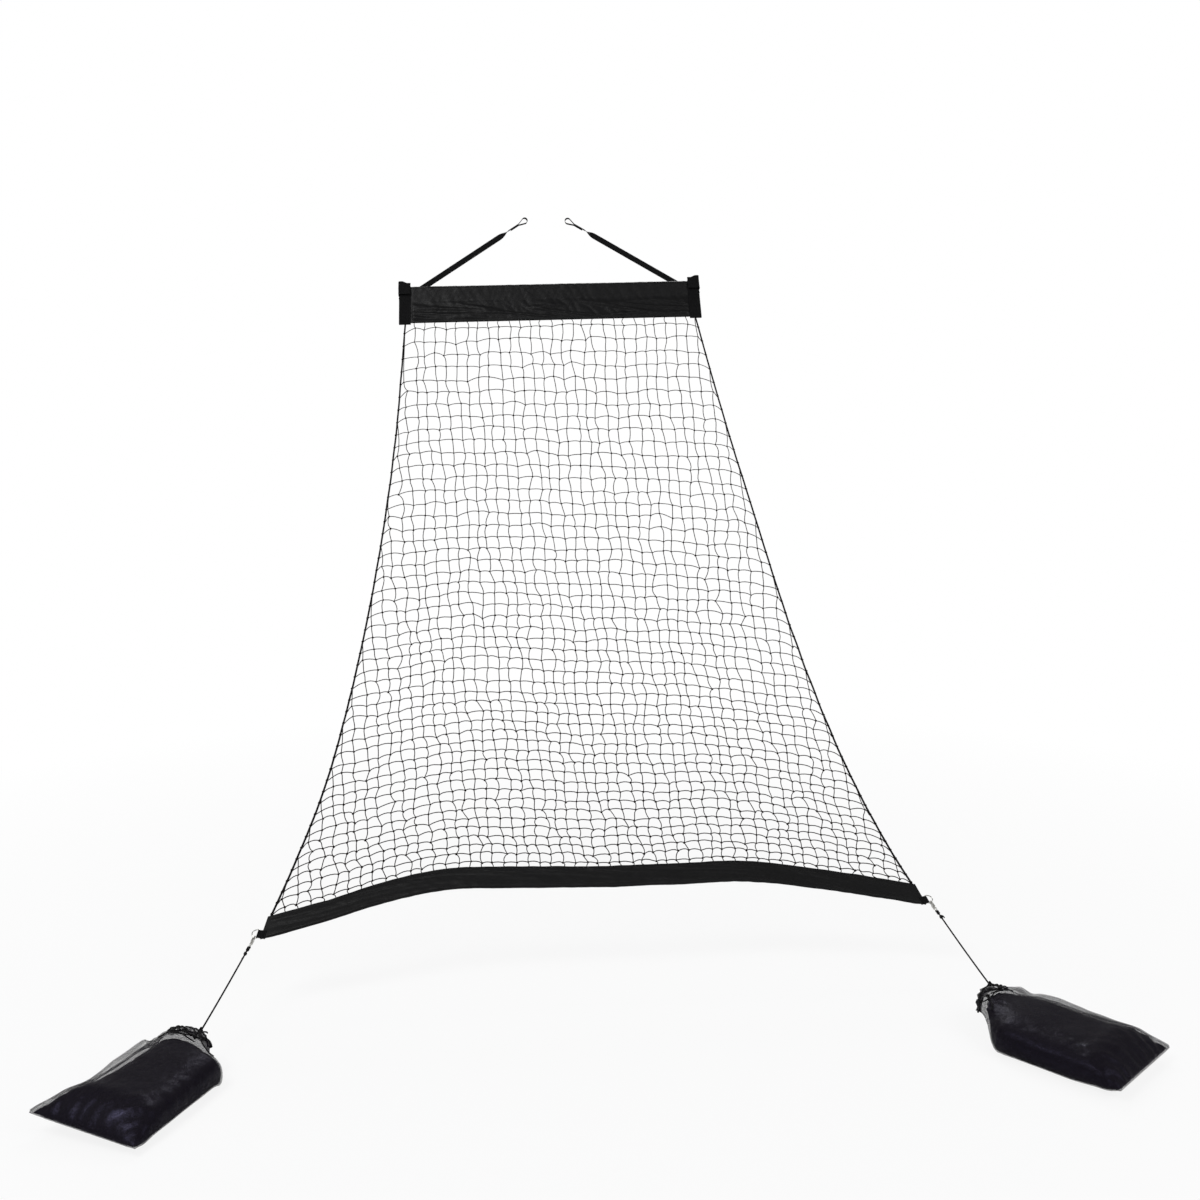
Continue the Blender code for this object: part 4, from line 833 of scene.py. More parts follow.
def end_tree(add: Callable[..., Socket], finish: Finish, geometry: Socket, along: Socket,
             around: Socket) -> None:
    """Smooth a tree's geometry, lay its cut out by two values, and close the tree in a finish."""
    smooth = add("GeometryNodeSetShadeSmooth", {}, {"Geometry": geometry})
    pair = add("ShaderNodeCombineXYZ", {}, {"X": along, "Y": around})
    cut = add("GeometryNodeStoreNamedAttribute", {"data_type": "FLOAT2", "domain": "CORNER", "Name": CUT},
              {"Geometry": smooth, "Value": pair})
    real = add("GeometryNodeRealizeInstances", {}, {"Geometry": cut})
    add("NodeGroupOutput", {}, {0: add("GeometryNodeSetMaterial", {"Material": finish.make()},
                                       {"Geometry": real})})


def set_out(add: Callable[..., Socket], links: dict) -> tuple[Socket, Socket, Socket]:
    """Put a shape on points, by an instancing node's links, and return it with its X and Z for the cut."""
    copies = add("GeometryNodeInstanceOnPoints", {}, links)
    real = add("GeometryNodeRealizeInstances", {}, {"Geometry": copies})
    apart = add("ShaderNodeSeparateXYZ", {}, {0: add("GeometryNodeInputPosition")}).node.outputs
    return real, apart[0], apart[2]


def strand_tree(finish: Finish, diameter: float, sides: int = 6) -> bpy.types.NodeTree:
    """Return a tree that turns edges into strands of twine, with an input named Diameter."""
    tree, add, start = begin_tree("strands", Diameter=diameter)
    line = add("GeometryNodeMeshToCurve", {}, {"Mesh": start["Paths"]})
    half = add("ShaderNodeMath", {"operation": "MULTIPLY", 1: 0.5}, {0: start["Diameter"]})
    ring = add("GeometryNodeCurvePrimitiveCircle", {"Resolution": sides}, {"Radius": half})
    kept = [add("GeometryNodeStoreNamedAttribute", {"domain": "POINT", "Name": name},
                {"Geometry": curve, "Value": add("GeometryNodeSplineParameter", out="Length")})
            for name, curve in (("run", line), ("girth", ring))]
    skin = add("GeometryNodeCurveToMesh", {"Fill Caps": True}, {"Curve": kept[0], "Profile Curve": kept[1]})
    end_tree(add, finish, skin, *(add("GeometryNodeInputNamedAttribute", {"Name": name})
                                  for name in ("run", "girth")))
    return tree


def bead_tree(finish: Finish, size: tuple[float, float, float]) -> bpy.types.NodeTree:
    """Return a tree that puts a lumpy knot on every point.

    Args:
        finish: The twine's finish.
        size: The knot's length along the rows, its width along the columns and its thickness.

    Returns:
        The tree, with one input named Size for all three.
    """
    tree, add, start = begin_tree("beads", Size=1.0)
    ball = add("GeometryNodeMeshUVSphere", {"Segments": 8, "Rings": 5, "Radius": 0.5})
    lump = add("GeometryNodeTransform", {"Scale": size}, {"Geometry": ball})
    spin = add("FunctionNodeRandomValue", {"data_type": "FLOAT_VECTOR", "Seed": 5, 0: (-0.25, -0.25, -0.6),
                                           1: (0.25, 0.25, 0.6)})
    grow = add("FunctionNodeRandomValue", {"data_type": "FLOAT", "Seed": 6, 2: 0.85, 3: 1.2}, out=1)
    scale = add("ShaderNodeMath", {"operation": "MULTIPLY"}, {0: grow, 1: start["Size"]})
    end_tree(add, finish, *set_out(add, {"Points": start["Paths"], "Instance": lump, "Rotation": spin,
                                         "Scale": scale}))
    return tree


def stitch_tree(finish: Finish, pitch: float, diameter: float) -> bpy.types.NodeTree:
    """Return a tree that sews stitches along edges, with inputs named Pitch and Diameter."""
    tree, add, start = begin_tree("stitches", Pitch=pitch, Diameter=diameter)
    line = add("GeometryNodeMeshToCurve", {}, {"Mesh": start["Paths"]})
    dots = add("GeometryNodeCurveToPoints", {"mode": "LENGTH"}, {"Curve": line, "Length": start["Pitch"]})
    ball = add("GeometryNodeMeshUVSphere", {"Segments": 6, "Rings": 4, "Radius": 0.5})
    long = add("ShaderNodeMath", {"operation": "MULTIPLY", 1: 0.72}, {0: start["Pitch"]})
    size = add("ShaderNodeCombineXYZ", {}, {"X": start["Diameter"], "Y": start["Diameter"], "Z": long})
    stitch = add("GeometryNodeTransform", {}, {"Geometry": ball, "Scale": size})
    aim = add("FunctionNodeAlignRotationToVector", {"axis": "Z"}, {"Vector": dots.node.outputs["Tangent"]})
    end_tree(add, finish, *set_out(add, {"Points": dots, "Instance": stitch, "Rotation": aim}))
    return tree


def grown(name: str, paths: Iterable[Path], tree: bpy.types.NodeTree,
          sizes: dict[str, float] | None = None) -> Item:
    """Run a tree on paths and keep its result as a plain mesh.

    Args:
        name: The new object's name.
        paths: Runs of points; each becomes a chain of edges.
        tree: The Geometry Nodes tree.
        sizes: Values for the tree's named inputs.

    Returns:
        An object at the origin, without its modifier.
    """
    points, edges = [], []
    for path in paths:
        edges.extend((k, k + 1) for k in range(len(points), len(points) + len(path) - 1))
        points.extend(path)
    mesh = bpy.data.meshes.new(name)
    mesh.from_pydata(points, edges, [])
    item = placed(name, mesh)
    modifier = item.modifiers.new("grow", "NODES")
    modifier.node_group = tree
    for socket in tree.interface.items_tree:
        if getattr(socket, "in_out", "") == "INPUT" and socket.name in (sizes or {}):
            modifier[socket.identifier] = sizes[socket.name]
    graph = bpy.context.evaluated_depsgraph_get()
    result = bpy.data.meshes.new_from_object(item.evaluated_get(graph), preserve_all_data_layers=True,
                                             depsgraph=graph)
    item.modifiers.remove(modifier)
    item.data = result
    return item


def sew(name: str, lines: Iterable[Path], pitch: float, diameter: float, slot: str = "") -> None:
    """Sew stitches of a pitch and diameter along lines."""
    settle(grown(name, lines, stitch_tree(THREAD, pitch, diameter)), THREAD, slot=slot)


# ---------------------------------------------------------------- sub-assemblies

@dataclass
class TopSleeve:
    """The cloth folded over the bar, its end panels, and the strap that closes each end."""

    inner_radius: float = 13.0 * MM
    slot: float = 3.4 * MM
    cloth: float = 1.0 * MM
    flat_width: float = 0.39
    taper: float = 60.0 * MM
    tape: float = 1.6 * MM
    gap: float = 0.3 * MM
    panel_width: float = 50.0 * MM
    panel_radius: float = 15.1 * MM
    panel_half: float = 3.8 * MM
    panel_drop: float = 6.0 * MM
    closer_height: float = 54.0 * MM
    closer_rise: float = 11.0 * MM
    closer_corner: float = 5.0 * MM
    closer_point: float = 9.0 * MM
    closer_puff: float = 1.6 * MM
    patch: float = 1.0 * MM
    patch_height: float = 38.0 * MM
    wrinkle: float = 5.2 * MM
    stitch: float = 4.5 * MM
    thread: float = 0.7 * MM
    seams: tuple = (6.0 * MM, 13.0 * MM)
    seam_inset: float = 4.0 * MM

    def build(self) -> None:
        """Build the sleeve and what is sewn to it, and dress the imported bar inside."""
        self.build_cloth()
        for side in Side:
            self.build_panel(side)
            self.build_closer(side)
        for names, finish in ((("top_bar_left", "top_bar_right", "bar_ferrule"), TUBE),
                              (("bar_cap_left", "bar_cap_right"), CAP)):
            for name in names:
                dress_node(name, finish)

    def lift(self, x: float, z: float, face: float) -> float:
        """Return how far the cloth stands off its plain fold at a place.

        Args:
            x: The place along the bar.
            z: Its level.
            face: -1 on the front, 1 on the back.

        Returns:
            The rise in metres, never below the plain fold.
        """
        depth = -z / PLAN.sleeve_height
        crumple = abs(ripple(x * 26.0 + z * 18.0, z * 11.0, face))
        fine = ripple(x * 95.0 - z * 60.0, z * 40.0, face + 4.0)
        drape = 0.5 + 0.5 * ripple(x * 6.0, z * 5.0, face + 14.0)
        low = ease((depth - 0.30) / 0.25) * ease((1.0 - depth) / 0.12)
        deep = pleat(x * 3.2, z * 34.0 + x * 2.6, face + 9.0, 3.2) * low
        high = self.wrinkle * (0.62 * crumple + 0.14 * fine + 0.35 * drape + 1.15 * deep)
        inside = ease((PLAN.sleeve_length / 2.0 - self.panel_width - abs(x)) / (12.0 * MM))
        edge = ease((z - PLAN.sleeve_bottom - 5.0 * MM) / (16.0 * MM))
        top = 1.0 - 0.55 * ease((z + 6.0 * MM) / (14.0 * MM))
        return max(high, 0.0) * inside * (0.12 + 0.88 * edge) * top

    def build_cloth(self) -> None:
        """Fold one cloth over the bar, wrinkle it, and sew its free edges together."""
        place = PLAN.bar()
        half = PLAN.sleeve_length / 2.0
        outline = fold(self.inner_radius + self.cloth / 2.0, (self.slot + self.cloth) / 2.0,
                       PLAN.sleeve_bottom, self.taper, 24)
        steps = list(zip(outline, runs(outline)))
        rows = []
        for x in shares(300, -half, half):
            row = []
            for (y, z), run in steps:
                rise = self.lift(x, z, 1.0 if y > 0.0 else -1.0)
                row.append(place @ Vector((x, y + run.y * rise, z - run.x * rise)))
            rows.append(row)
        item = settle(sheeted("sleeve_cloth", rows, 0.8 * self.cloth), POLYESTER, "top_sleeve")
        lines = []
        for face in (-1.0, 1.0):
            for up in self.seams:
                z = PLAN.sleeve_bottom + up
                y = face * (self.slot / 2.0 + 0.9 * self.cloth)
                lines.append([place @ Vector((x, y + face * self.lift(x, z, face), z))
                              for x in shares(240, self.seam_inset - half, half - self.seam_inset)])
        sew("sleeve_stitches", lines, self.stitch, self.thread, "sleeve_cloth")

    def build_panel(self, side: Side) -> None:
        """Fold a webbing panel over an end of the sleeve, and sew its edges."""
        place = PLAN.bar()
        low = PLAN.sleeve_bottom - self.panel_drop
        outline = fold(self.panel_radius, self.panel_half, low, self.taper, 18)
        end = side.sign * PLAN.sleeve_length / 2.0
        middle = end - side.sign * self.panel_width / 2.0
        rings = []
        for (y, z), run in zip(outline, runs(outline)):
            ring = []
            for a, b in tape_section(self.panel_width, self.tape):
                off = b + 0.35 * MM * ripple(a * 60.0, z * 30.0, side.sign + 3.0)
                ring.append(place @ Vector((middle + a, y + run.y * off, z - run.x * off)))
            rings.append(ring)
        settle(skin(f"end_panel_{side.value}", rings), TAPE, f"sleeve_end_panel_{side.value}")
        edges = [end - side.sign * inset for inset in (self.seam_inset, self.panel_width - self.seam_inset)]
        lines = []
        for face in (-1.0, 1.0):
            y = face * (self.panel_half + self.tape / 2.0 + 0.1 * MM)
            lines += [[place @ Vector((x, y, z * MM)) for z in (-64, -110, -162)] for x in edges]
            lines.append([place @ Vector((x, y, low + 5.0 * MM)) for x in edges])
        sew(f"panel_stitches_{side.value}", lines, 3.5 * MM, 0.8 * MM)

    def build_closer(self, side: Side) -> None:
        """Bend a webbing flap round the sleeve's end, and close it on its patch."""
        place = PLAN.bar()
        half = PLAN.sleeve_length / 2.0
        inner = half - self.panel_width
        end = half + self.gap + self.tape / 2.0
        front = -(PLAN.panel_outer + 2.0 * self.gap + self.patch + self.tape / 2.0)
        corner = self.closer_corner
        path = [(end, y) for y in shares(8, PLAN.panel_outer, front + corner)[:-1]]
        path += arc((end - corner, front + corner), corner, 0.0, -90.0 * DEG, 6)
        path += [(x, front) for x in shares(8, end - corner, inner)[1:]]
        level = PLAN.sleeve_outer + self.closer_rise - self.closer_height / 2.0
        rings = []
        for k, ((x, y), run) in enumerate(zip(path, runs(path))):
            point = self.closer_point * ease((x - inner) / (0.5 * self.panel_width) - 0.5)
            puff = self.closer_puff * ease(k / 5.0) * (0.3 if k == len(path) - 1 else 1.0)
            ring = []
            for a, b in tape_section(self.closer_height, self.tape):
                high = a / self.closer_height + 0.5
                off = b + puff * abs(ripple(k * 0.32, high * 3.4, side.sign + 21.0))
                ring.append(place @ Vector((side.sign * (x - run.y * off), y + run.x * off,
                                            level + a + point * high ** 4)))
            rings.append(ring)
        settle(skin(f"closing_strap_{side.value}_tape", rings), TAPE, f"closing_strap_{side.value}",
               body=f"closer_{side.value}")
        face = -(PLAN.panel_outer + self.gap + self.patch / 2.0)
        line = [place @ Vector((side.sign * x, face, -6.0 * MM))
                for x in shares(6, inner + 2.0 * MM, half - 2.0 * MM)]
        patch = tape(line, place.to_3x3() @ UP, self.patch_height, self.patch)
        settle(patch.build(f"closing_pile_{side.value}"), PILE, f"closing_patch_{side.value}")


@dataclass
class HangingStraps:
    """Two webbing straps from the sleeve's ends, each ending in a loop that is closed on itself."""

    width: float = 25.0 * MM
    tape: float = 1.6 * MM
    span: float = 1.156
    tail: float = 42.0 * MM
    overlap: float = 80.0 * MM
    overlap_end: float = 74.0 * MM
    closed: float = 32.0 * MM
    twist: float = 60.0 * MM
    patch: float = 1.0 * MM
    gap: float = 0.3 * MM
    loop_radius: float = 12.0 * MM
    panel_slant: float = math.atan2(14.3 - 3.0, 60.0)

    def build(self) -> None:
        """Build both straps."""
        for side in Side:
            self.build_strap(side)

    def build_strap(self, side: Side) -> None:
        """Build one strap, the patches that close it, and its stitches."""
        carrier = PLAN.bar()
        turn = carrier.to_3x3()
        loop = carrier.inverted() @ Vector((side.sign * PLAN.hang_span / 2.0, 0.0, 0.0))
        radius = PLAN.panel_outer + self.gap + self.tape / 2.0
        slant = self.panel_slant
        reach = math.hypot(loop.y, loop.z)
        leave = math.atan2(loop.z, loop.y) - math.acos(radius / reach)
        run = math.sqrt(reach * reach - radius * radius)
        corner = radius * (leave + slant)
        ratio = (side.sign * self.span / 2.0 - loop.x) / (run + corner / 2.0)
        points, ways = [], []

        def station(at: Pair, travel: float, down: Pair) -> None:
            """Note a point of the strap and the direction of its width."""
            points.append(carrier @ Vector((loop.x + ratio * travel, *at)))
            ways.append(turn @ Vector((0.0, -down[1], down[0])).cross(Vector((ratio, *down)).normalized()))

        c, s = math.cos(slant), math.sin(slant)
        for back in shares(6, self.tail, 0.0):
            station((radius * c - back * s, -radius * s - back * c), run + corner + back, (-s, -c))
        for angle in shares(14, -slant, leave)[1:]:
            c, s = math.cos(angle), math.sin(angle)
            station((radius * c, radius * s), run + radius * (leave - angle), (s, -c))
        centre, face = carrier @ loop, ways[-1]
        down = (turn @ Vector((ratio, math.sin(leave), -math.cos(leave)))).normalized()
        rod = (Vector((0.0, 1.0, 0.0)) - down * down.y).normalized()
        rise = rod.cross(down)
        if rise.z < 0.0:
            rise = -rise
        spin = math.atan2(rod.dot(down.cross(face)), rod.dot(face))
        if abs(spin) > 90.0 * DEG:
            spin -= math.copysign(180.0 * DEG, spin)
        offset = self.gap * 1.5 + self.patch + self.tape / 2.0
        for far in shares(24, (points[-1] - centre).length, self.overlap + self.twist)[1:-1]:
            points.append(centre + down * far)
            ways.append(face)
        for share in shares(30):
            far = self.overlap + self.twist * (1.0 - share)
            angle = spin * ease(share)
            points.append(centre + down * far + rise * offset * ease(share))
            ways.append(face * math.cos(angle) + down.cross(face) * math.sin(angle))
        lay = axes(centre, down, ways[-1], rise)
        swing = math.asin(self.loop_radius / math.hypot(offset, self.closed))
        swing -= math.atan2(offset, self.closed)
        path = [(a, offset) for a in shares(8, self.overlap, self.closed)[1:]]
        path += arc((0.0, 0.0), self.loop_radius, 90.0 * DEG - swing, 270.0 * DEG + swing, 28)
        path += [(a, -offset) for a in shares(8, self.closed, self.overlap_end)]
        points += [lay @ Vector((a, 0.0, b)) for a, b in path]
        ways += [ways[-1]] * len(path)
        strap = tape(points, ways, self.width, self.tape)
        settle(strap.build(f"rim_strap_{side.value}"), TAPE, f"hanging_strap_{side.value}")
        for kind, level in (("loop", 0.5), ("hook", -0.5)):
            line = [lay @ Vector((a, 0.0, level * (self.gap + self.patch)))
                    for a in shares(10, self.closed + 2.0 * MM, self.overlap_end - 2.0 * MM)]
            patch = tape(line, ways[-1], self.width - 4.0 * MM, self.patch)
            settle(patch.build(f"rim_strap_{kind}_pile_{side.value}"), PILE,
                   f"strap_{kind}_patch_{side.value}")
        self.build_stitches(side, lay, offset, (points[1], points[6], ways[3]))

    def build_stitches(self, side: Side, lay: Matrix, offset: float, tail: tuple) -> None:
        """Sew the patches along their edges and the tail with a crossed box.

        Args:
            side: Which strap.
            lay: The frame of its loop: X down the strap, Y its width.
            offset: How far its layers lie off that frame's plane.
            tail: The tail's low and high end, and the direction of its width.
        """
        off = self.tape / 2.0 + 0.15 * MM
        edge = self.width / 2.0 - 3.5 * MM
        near, far = self.closed + 4.0 * MM, self.overlap_end - 4.0 * MM
        corners = [(near, -edge), (far, -edge), (far, edge), (near, edge), (near, -edge)]
        lines = [[lay @ Vector((a, b, level)) for a, b in corners] for level in (offset + off, -offset - off)]
        low, high, way = tail
        up = (high - low).normalized()
        across = (way - up * way.dot(up)).normalized()
        out = up.cross(across)
        foot = axes(low, up, across, -out if out.y < 0.0 else out)
        reach = (high - low).length
        box = [(0.0, -edge), (reach, -edge), (reach, edge), (0.0, edge), (0.0, -edge), (reach, edge)]
        for path in (box, [(0.0, edge), (reach, -edge)]):
            lines.append([foot @ Vector((a, b, off)) for a, b in path])
        sew(f"rim_strap_stitches_{side.value}", lines, 3.2 * MM, 0.8 * MM)


@dataclass
class Net:
    """The knotted twine, square hung, between its side ropes."""

    rows: int = 50
    twine: float = 3.2 * MM
    wrap: float = 1.7 * MM
    knot: tuple = (7.6 * MM, 6.4 * MM, 7.0 * MM)
    top_mesh: float = 44.8 * MM
    hem_mesh: float = 38.7 * MM
    rope_radius: float = 3.5 * MM
    entry: float = 8.0 * MM
    slope: float = 2.40
    sway: float = 11.0 * MM
    jitter: float = 4.4 * MM
    rise: float = 5.2 * MM
    bow: float = 5.4 * MM
    kink: float = 2.2 * MM
    fold_depth: float = 7.0 * MM
    steps: int = 4
    ties: tuple = (0.32, 0.28)
    bunch_at: tuple = (-0.30, 0.545)
    bunch_size: tuple = (0.17, 0.020)
    bunch_pull: float = 0.020

    def build(self) -> None:
        """Build the strands, the knots, the side ropes and what ties the net to them."""
        nodes = self.nodes()
        down = [self.column_path(column, sorted(r for c, r in nodes if c == column), nodes)
                for column in sorted({c for c, _ in nodes})]
        across, wraps = [], []
        for row in range(self.rows):
            path, ends = self.row_path(row, nodes)
            across.append(path)
            wraps += ends
        strands, beads = strand_tree(TWINE, self.twine), bead_tree(TWINE, self.knot)
        for name, paths, tree, sizes in (("strands_down", down, strands, {}),
                                         ("strands_across", across, strands, {}),
                                         ("knots", [[place] for place in nodes.values()], beads, {}),
                                         ("wraps", wraps, strands, {"Diameter": self.wrap})):
            settle(grown(f"net_{name}", paths, tree, sizes), TWINE, "net_panel")
        for side in Side:
            self.build_rope(side)

    def middle(self, share: float) -> Pair:
        """Return the middle column's X and the width of a mesh at a share of the way down."""
        return (PLAN.bar_shift + (PLAN.hem_shift - PLAN.bar_shift) * share,
                self.top_mesh + (self.hem_mesh - self.top_mesh) * share)

    @staticmethod
    def limits(share: float) -> Pair:
        """Return the X of both side ropes at a share of the way down."""
        return tuple(PLAN.rope_point(side, share).x for side in Side)

    def spot(self, x: float, share: float, across: float, up: float) -> Vector:
        """Return a point of the net.

        Args:
            x: Its place across.
            share: Its share of the way down.
            across: A shift across, in metres.
            up: A shift up the slope, in metres.

        Returns:
            The point, with the net's own sway and folds.
        """
        left, right = self.limits(share)
        near = ease(min(x - left, right - x) / 0.10) * ease(share / 0.04) * ease((1.0 - share) / 0.04)
        lean = 1.3 * ripple(x * 2.2, share * 5.0, 1.0) + 0.9 * ripple(x * 7.0, share * 14.0, 2.0)
        slide = 0.8 * ripple(x * 3.0, share * 7.0, 5.0) + 0.5 * ripple(x * 11.0, share * 20.0, 6.0)
        gather = math.exp(-((x - self.bunch_at[0]) / self.bunch_size[0]) ** 2)
        pull = (share - self.bunch_at[1]) / (2.2 * self.bunch_size[1])
        slide = self.sway * slide + self.bunch_pull * gather * pull * math.exp(-pull * pull)
        low = min(max(share - (slide * near + up) / self.slope, 0.0), 1.0)
        place = PLAN.net_point((x + self.sway * lean * near + across - left) / (right - left), low)
        waves = ripple(x * 5.5, share * 1.6, 8.0) + 0.5 * ripple(x * 13.0, share * 3.0, 9.0)
        out = Vector((0.0, -math.sin(PLAN.hem_pitch), math.cos(PLAN.hem_pitch)))
        return place + out * self.fold_depth * near * waves

    def nodes(self) -> dict[tuple[int, int], Vector]:
        """Return the place of every knot, by its column and row."""
        rng = random.Random(21)
        places = {}
        for row in range(self.rows):
            share = (row + 0.5) / self.rows
            middle, mesh = self.middle(share)
            low, high = self.limits(share)
            first = math.ceil((low + self.rope_radius - middle) / mesh + 0.25)
            last = math.floor((high - self.rope_radius - middle) / mesh - 0.25)
            for column in range(first, last + 1):
                places[(column, row)] = self.spot(middle + column * mesh, share, rng.gauss(0.0, self.jitter),
                                                  rng.gauss(0.0, 0.8 * self.jitter))
        return places

    def column_path(self, column: int, rows: Sequence[int],
                    nodes: dict[tuple[int, int], Vector]) -> list[Vector]:
        """Return the run of one strand down the net, from the sleeve or a side rope to the hem."""
        if rows[0] == 0:
            at = PLAN.net_point(self.across(column, 0.0), 0.0)
            stops = [at + PLAN.bar().to_3x3() @ (UP * self.entry), at]
        else:
            stops = [self.rope_start(column, rows[0])]
        stops += [nodes[(column, row)] for row in rows]
        if rows[-1] == self.rows - 1:
            first, last = (PLAN.rope_share(side) for side in Side)
            share = first + (last - first) * self.across(column, 1.0)
            stops += [PLAN.hem_point(share, PLAN.hem_height - depth) for depth in (0.0, self.entry)]
        return self.bowed(stops, column * 0.9, 17.0, Vector((1.0, 0.0, 0.0)), self.bow, False)

    def across(self, column: float, share: float) -> float:
        """Return a column's share of the way across the net."""
        left, right = self.limits(share)
        middle, mesh = self.middle(share)
        return (middle + column * mesh - left) / (right - left)

    def rope_start(self, column: int, row: int) -> Vector:
        """Return where a column that starts below the sleeve leaves its side rope."""
        side = Side.LEFT if column < 0 else Side.RIGHT
        share = (row + 0.5) / self.rows
        for _ in range(24):
            middle, mesh = self.middle(share)
            if (PLAN.rope_point(side, share).x - middle - column * mesh) * side.sign < 0.0:
                break
            share -= 0.2 / self.rows
        return PLAN.rope_point(side, share) - Vector((side.sign * 0.6 * self.rope_radius, 0.0, 0.0))

    def row_path(self, row: int, nodes: dict[tuple[int, int], Vector]) -> tuple[list[Vector], Rings]:
        """Return one strand across the net, and the turns that tie its ends to the ropes."""
        share = (row + 0.5) / self.rows
        ends = []
        for side in Side:
            lower = share + side.pick(self.ties) / self.rows
            at = PLAN.rope_point(side, min(lower, 1.0))
            along = (PLAN.rope_point(side, min(lower + 0.01, 1.0)) - at).normalized()
            inward = Vector((-side.sign, 0.0, 0.0))
            inward = (inward - along * inward.dot(along)).normalized()
            rope = axes(at, inward, along.cross(inward), along)
            reach = self.rope_radius + 0.8 * MM
            ends.append([rope @ Vector((reach * math.cos(a), reach * math.sin(a),
                                        (a / TURN - 0.9) * 2.0 * MM))
                         for a in shares(21, 0.0, 1.75 * TURN)])
        stops = [ends[0][0], *(nodes[key] for key in sorted(nodes) if key[1] == row), ends[1][0]]
        way = Vector((0.0, math.cos(40.0 * DEG), math.sin(40.0 * DEG)))
        return self.bowed(stops, row * 0.7, 31.0, way, self.rise, True), ends

    def bowed(self, stops: Path, seed: float, base: float, way: Vector, depth: float,
              always: bool) -> list[Vector]:
        """Return a strand through its stops that bows between them.

        Args:
            stops: The points it passes.
            seed: What sets its own bows apart from the next strand's.
            base: A second seed.
            way: The direction of a bow.
            depth: The greatest bow.
            always: Whether it bows to one side only.

        Returns:
            The strand's points.
        """
        path = []
        for k, (here, after) in enumerate(zip(stops, stops[1:])):
            swell = ripple(k * 0.37, seed, base)
            hook = self.kink * ripple(k * 0.81, seed, base + 3.0)
            size = depth * (0.8 + 0.7 * swell) if always else depth * 2.0 * swell
            for t in shares(self.steps)[:-1]:
                off = size * 4.0 * t * (1.0 - t) + hook * math.sin(TURN * t)
                path.append(here.lerp(after, t) + way * off)
        return path + [stops[-1]]

    def build_rope(self, side: Side) -> None:
        """Lay a braided rope along one edge of the net."""
        stops = [PLAN.rope_point(side, share) for share in shares(60)]
        stops[0] -= PLAN.bar().to_3x3() @ (UP * 7.0 * MM)
        last = PLAN.hem_point(PLAN.rope_share(side), PLAN.hem_height)
        stops[-1] = last + (stops[-2] - last).normalized() * 1.5 * MM
        path = []
        for k, point in enumerate(curved(stops, 4)):
            wave = 1.4 * MM * ease(k / 16.0) * ease((240 - k) / 16.0)
            path.append(point + Vector((ripple(k * 0.11, 2.0, side.sign) * wave, 0.0, 0.0)))
        settle(Shape().add_tube(path, self.rope_radius, 10).build(f"edge_rope_{side.value}"), BRAID,
               f"side_rope_{side.value}")


